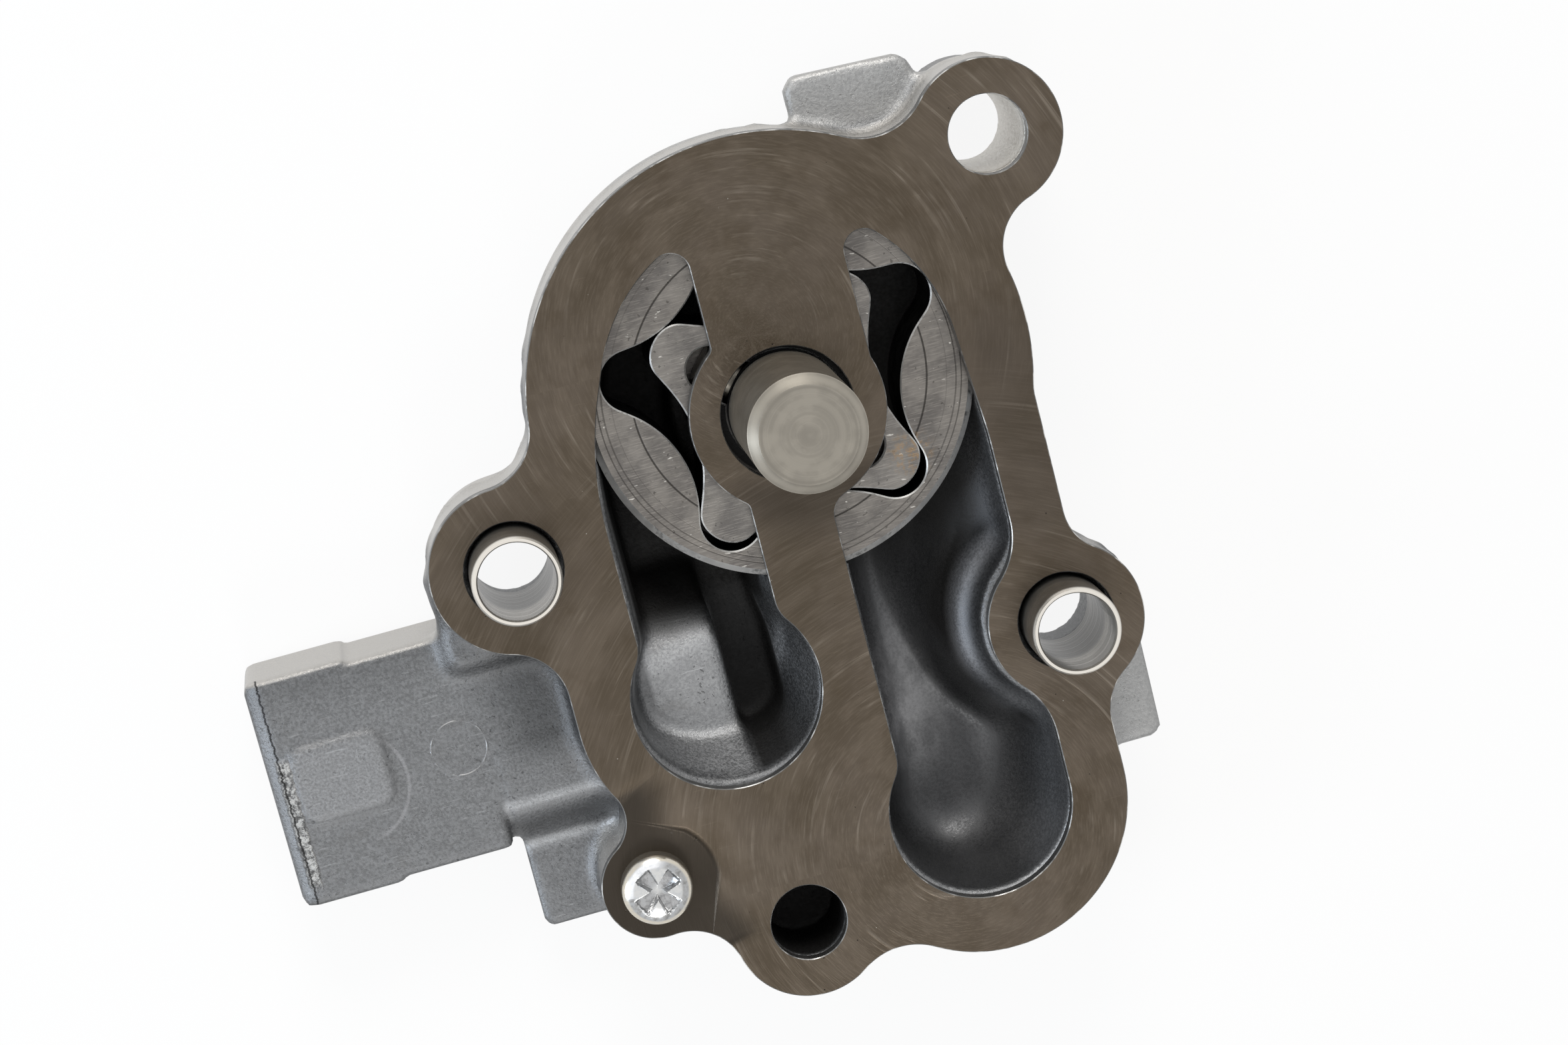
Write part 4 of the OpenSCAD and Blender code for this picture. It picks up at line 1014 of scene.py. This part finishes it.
class PUMP_OT_casting(bpy.types.Operator):
    """Builds the die casting as one smooth surface"""
    bl_idname = "pump.casting"
    bl_label = "Casting"

    def execute(self, context):
        cell = context.scene.pump_sizes.cell
        low, high = np.array([-66.6, -66.9, -19.5]), np.array([37.7, 35.1, -1.0])
        counts = np.ceil((high - low) / cell).astype(int) + 1
        axes = [(low[i] + cell * np.arange(counts[i])).astype(np.float32) for i in range(3)]
        points, quads = surface_net(casting_distance(*np.meshgrid(*axes, indexing="ij")), low, cell)
        material = cast_metal(context.scene.pump_looks)
        piece = add_piece("cast_body", points, quads, material, "housing", ["pump_body"], sharp=60)
        marks, normals = casting_marks(points), np.empty(3 * len(points))
        # painted light goes only on those walls outside the plate that face the top light
        piece.data.vertices.foreach_get("normal", normals)
        marks["side"] *= step_up((normals.reshape(-1, 3) @ (-0.25, 0.96, 0.0) - 0.35) / 0.5)
        paint(piece, marks)
        piece.modifiers.new("thin", "DECIMATE").ratio = min(1.0, CAST_TRIANGLES / (2 * len(quads)))
        return {"FINISHED"}


def finish_edges(piece, edge, wall, steepest=0.98):
    """Gives the chamfers that face forwards one material and the upright walls another."""
    piece.data.materials.append(edge)
    piece.data.materials.append(wall)
    rise = face_rises(piece.data)
    piece.data.polygons.foreach_set("material_index", (rise < steepest).astype(np.int32) + (rise < 0.3))


class PUMP_OT_plate(bpy.types.Operator):
    """Builds the cover plate with its windows, holes and coined screw seat"""
    bl_idname = "pump.plate"
    bl_label = "Cover plate"

    def execute(self, context):
        sizes, looks = context.scene.pump_sizes, context.scene.pump_looks
        holes = [loop(LEFT_WINDOW, 7), loop(RIGHT_WINDOW, 7), ring(HUB, HUB_HOLE_R), ring(TOP_EAR, 4.4),
                 ring(LEFT_EAR, 5.5), ring(RIGHT_EAR, 5.5), ring(GALLERY, 4.3), ring(SCREW, 2.25, 48)]
        coin, slope = trace(COIN, 0, 7), 0.9

        def sink(points):
            away = polygon_distance(points[:, 0], points[:, 1], coin)
            return sizes.coin_depth * step_up(1 - away / slope)

        border = np.concatenate([trace(COIN, g, 4) for g in (0, 0.2, 0.45, 0.7, slope)])
        border = border[polygon_distance(border[:, 0], border[:, 1], trace(OUTLINE, 0, 7)) < -0.2]
        v, f = slab(loop(OUTLINE, 7), holes, -PLATE_T, 0.0, sizes.plate_edge, sink=sink, extra=border)
        edge, metal = np.array(looks.edge_colour), ground_plate(looks)
        plate = add_piece("ground_cover_plate", v, f, metal, "housing", ["cover_plate"], 30, 0.001, True)
        finish_edges(plate, bright_edge("plate_edge", edge, 0.3),
                     bright_edge("plate_wall", edge * 0.35, 0.4, 0.75), 0.74)
        return {"FINISHED"}


class PUMP_OT_rotors(bpy.types.Operator):
    """Builds the outer and the inner rotor with bright broken edges"""
    bl_idname = "pump.rotors"
    bl_label = "Rotors"

    def execute(self, context):
        sizes, looks = context.scene.pump_sizes, context.scene.pump_looks
        edge = bright_edge("rotor_edge", looks.edge_colour, 1.0)
        # near-black colour for the rotors' upright walls
        wall = bright_edge("oiled_wall", (0.014, 0.014, 0.014), 0.5)
        v, f = slab(ring((0, ECC), ROTOR_R, 240), [tooth_hollow], ROTOR_BACK, ROTOR_FRONT,
                    sizes.rim_edge, sizes.rotor_edge)
        rings = [(16.45, 0.14, 0.85), (19.75, 0.11, 0.5), (20.35, 0.09, 0.6), (18.7, 0.07, 0.2)]
        metal = rotor_metal("outer_rotor_steel", looks.outer_colour, rings)
        outer = add_piece("outer_rotor_ring", v, f, metal, "ring", ["outer_rotor"], 30, 0.0005, True)
        finish_edges(outer, edge, wall)
        # the front part has the pin's slot, the back part only the bore
        v, f = slab(lobe_outline, [slot_outline], SLOT_FLOOR, ROTOR_FRONT, sizes.rotor_edge, 0.2, 0.01)
        low_v, low_f = slab(lobe_outline, [ring((0, 0), BORE_R)], ROTOR_BACK, SLOT_FLOOR, 0.01, 0.01,
                            sizes.rotor_edge)
        v, f = np.concatenate([v, low_v]), f + [[i + len(v) for i in face] for face in low_f]
        metal = rotor_metal("inner_rotor_steel", looks.inner_colour)
        inner = add_piece("inner_rotor_lobes", v, f, metal, "shaft", ["inner_rotor"], 30, None, True)
        finish_edges(inner, edge, wall)
        return {"FINISHED"}


HEAD_R, HEAD_H, SHANK_R, SCREW_LONG, COIN_DEEP = 4.0, 2.9, 1.95, 10.0, 0.4
RECESS_R, RECESS_DEPTH, RECESS_TURN = 2.65, 1.6, math.radians(30.6)


def screw_surface():
    """Screw as rings of points about its axis. The head's height is a dome, less a recess whose four
    wings widen outwards and deepen towards the middle. Also returns how deep each point lies in it."""
    t = np.linspace(0, 2 * np.pi, 160, endpoint=False)
    rows, marks = [], []

    def add(r, z, deep):
        rows.append(np.stack([r * np.cos(t), r * np.sin(t), z + 0 * t], 1))
        marks.append(deep + 0 * t)

    for r in np.append(np.linspace(0.1, HEAD_R - 0.3, 36), HEAD_R - np.array([0.2, 0.11, 0.05, 0.015, 0.0])):
        u, v = np.abs(r * np.cos(t - RECESS_TURN)), np.abs(r * np.sin(t - RECESS_TURN))
        along, off = np.maximum(u, v), np.minimum(u, v)
        deep = np.clip(1 - along / RECESS_R, 0, 1) ** 0.55 * step_up((0.40 + 0.24 * along - off) / 0.24 + 0.5)
        add(r, HEAD_H - 1.25 * (1 - math.sqrt(max(0, 1 - (r / HEAD_R) ** 3))) - RECESS_DEPTH * deep, deep)
    for r, z in ((HEAD_R, 0.0), (SHANK_R, 0.0), (SHANK_R, -SCREW_LONG), (0.1, -SCREW_LONG)):
        add(r, z, 0)
    n, i = len(t), np.arange(len(t))
    ends = [i.tolist(), (i[::-1] + (len(rows) - 1) * n).tolist()]
    # the rings run outwards and then down, so the quads are taken the other way round
    faces = strips(n, len(rows))[:, [0, 3, 2, 1]].tolist() + ends
    return np.concatenate(rows) + (*SCREW[:2], -COIN_DEEP), faces, np.concatenate(marks)


class PUMP_OT_screw(bpy.types.Operator):
    """Builds the small plated screw with its cross recess"""
    bl_idname = "pump.screw"
    bl_label = "Screw"

    def execute(self, context):
        v, f, deep = screw_surface()
        material = plated_head(context.scene.pump_looks)
        piece = add_piece("plated_cover_screw", v, f, material, "housing", ["cover_screw"], sharp=50)
        paint(piece, {"deep": deep})
        return {"FINISHED"}


class PUMP_OT_fittings(bpy.types.Operator):
    """Finishes the shaft, dowels and relief valve"""
    bl_idname = "pump.fittings"
    bl_label = "Fittings"

    def execute(self, context):
        looks = context.scene.pump_looks
        rings = [(5.9, 0.5, 1.35), (5.1, 0.25, 0.75), (3.6, 0.5, 1.12), (2.3, 0.3, 0.9), (0.6, 0.7, 0.82)]
        dress("drive_shaft",
              turned_steel("shaft_steel", looks.steel_colour, rough=(0.46, 0.34), end_rings=rings))
        dress("drive_pin", turned_steel("pin_steel", looks.steel_colour))
        for node, at in (("dowel_left", LEFT_EAR), ("dowel_right", RIGHT_EAR)):
            dress(node, turned_steel(node + "_steel", looks.sleeve_colour, centre=(*at[:2], 0), front=6.3))
        for node, name, colour in (("relief_plunger", "plunger_steel", looks.sleeve_colour),
                                   ("relief_spring", "spring_steel", looks.steel_colour),
                                   ("relief_spring_seat", "seat_steel", looks.zinc_colour),
                                   ("relief_snap_ring", "snap_ring_steel", looks.steel_colour)):
            dress(node, turned_steel(name, colour, 0, (0, *VALVE)))
        return {"FINISHED"}


def backdrop(holder, output, lit, shown, share):
    """Gives the floor or the world one shader that lights the object, and another that is seen by
    the camera, in metal and through glass. share is how much of the second is seen."""
    holder.use_nodes = True
    holder.node_tree.nodes.clear()
    n = Nodes(holder.node_tree)
    path = n.add("ShaderNodeLightPath").outputs
    seen = n.math("MAXIMUM", path["Is Camera Ray"], path["Is Glossy Ray"])
    seen = n.times(n.math("MAXIMUM", seen, path["Is Transmission Ray"]), share)
    first, second = [n.add(kind, inputs).outputs[0] for kind, inputs in (lit, shown)]
    mixed = n.add("ShaderNodeMixShader", {0: seen, 1: first, 2: second})
    n.add(output, {"Surface": mixed.outputs[0]})


def turned(right, above, back, at):
    """A placed frame, from its three directions and its origin."""
    return Matrix([[right[i], above[i], back[i], at[i]] for i in range(3)] + [[0, 0, 0, 1]])


FLOOR_Z, FLOOR_REACH = -0.0191, 3.0
# Name, place and width in metres, power in watts and colour of each lamp
LAMPS = (("top_light", (0.05, 0.75, 0.55), 0.40, 4.5, (1.0, 0.97, 0.93)),
         ("left_light", (-0.80, -0.05, 0.42), 0.35, 4.0, (0.78, 0.88, 1.0)),
         ("low_light", (-0.15, -0.65, 0.70), 0.30, 1.6, (1.0, 0.99, 0.97)))
# Directions to the right, upwards and back, place in millimetres, and lens of the camera
CAMERA_FRAME = ((0.96144748, -0.24685776, 0.12116102), (0.26511099, 0.9491205, -0.16996011),
                (-0.07304044, 0.19552884, 0.97797422))
CAMERA_AT, CAMERA_LENS = np.array([-36.140126, 75.254882, 436.856266]), 92.946


class PUMP_OT_stage(bpy.types.Operator):
    """Places the floor, the lamps and the camera"""
    bl_idname = "pump.stage"
    bl_label = "Stage"

    def execute(self, context):
        scene = context.scene
        mesh = bpy.data.meshes.new("floor")
        corners = [(u * FLOOR_REACH, v * FLOOR_REACH, FLOOR_Z) for u, v in ((-1, -1), (1, -1), (1, 1), (-1, 1))]
        mesh.from_pydata(corners, [], [(0, 1, 2, 3)])
        floor = placed("floor", mesh)
        pale = bpy.data.materials.new("pale_floor")
        backdrop(pale, "ShaderNodeOutputMaterial", ("ShaderNodeBsdfDiffuse", {"Color": 0.8}),
                 ("ShaderNodeEmission", {"Color": 1, "Strength": 1.0}), 0.9)
        mesh.materials.append(pale)
        scene.world = bpy.data.worlds.new("studio")
        backdrop(scene.world, "ShaderNodeOutputWorld",
                 ("ShaderNodeBackground", {"Color": 1, "Strength": 0.55}),
                 ("ShaderNodeBackground", {"Color": 1, "Strength": 1.0}), 1.0)

        for name, at, size, power, colour in LAMPS:
            data = bpy.data.lights.new(name, "AREA")
            data.shape, data.size, data.energy, data.color = "DISK", size, power, colour
            lamp = placed(name, data)
            back = np.array(at) / np.linalg.norm(at)
            side = np.cross((0, 0, 1), back)
            side /= np.linalg.norm(side)
            lamp.matrix_world = turned(side, np.cross(back, side), back, at)

        data = bpy.data.cameras.new("camera")
        data.sensor_width, data.lens = 36.0, CAMERA_LENS
        data.clip_start, data.clip_end = 0.02, 20
        camera = placed("camera", data)
        camera.matrix_world = turned(*CAMERA_FRAME, CAMERA_AT * MM)
        scene.camera = camera
        scene.view_settings.view_transform = "Standard"
        return {"FINISHED"}


class PUMP_PT_panel(bpy.types.Panel):
    """Lists the operators in the sidebar"""
    bl_label = "Oil pump"
    bl_idname = "PUMP_PT_panel"
    bl_space_type = "VIEW_3D"
    bl_region_type = "UI"
    bl_category = "Oil pump"

    def draw(self, context):
        for part in ("stage", "casting", "plate", "rotors", "screw", "fittings"):
            self.layout.operator("pump." + part)


CLASSES = (PumpLooks, PumpSizes, PUMP_OT_stage, PUMP_OT_casting, PUMP_OT_plate, PUMP_OT_rotors, PUMP_OT_screw,
           PUMP_OT_fittings, PUMP_PT_panel)


def register():
    for c in CLASSES:
        bpy.utils.register_class(c)
    bpy.types.Scene.pump_looks = PointerProperty(type=PumpLooks)
    bpy.types.Scene.pump_sizes = PointerProperty(type=PumpSizes)


def unregister():
    del bpy.types.Scene.pump_looks
    del bpy.types.Scene.pump_sizes
    for c in reversed(CLASSES):
        bpy.utils.unregister_class(c)


def main():
    """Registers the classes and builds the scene."""
    register()
    bpy.ops.pump.stage()
    bpy.ops.pump.casting()
    bpy.ops.pump.plate()
    bpy.ops.pump.rotors()
    bpy.ops.pump.screw()
    bpy.ops.pump.fittings()


if __name__ == "__main__":
    main()
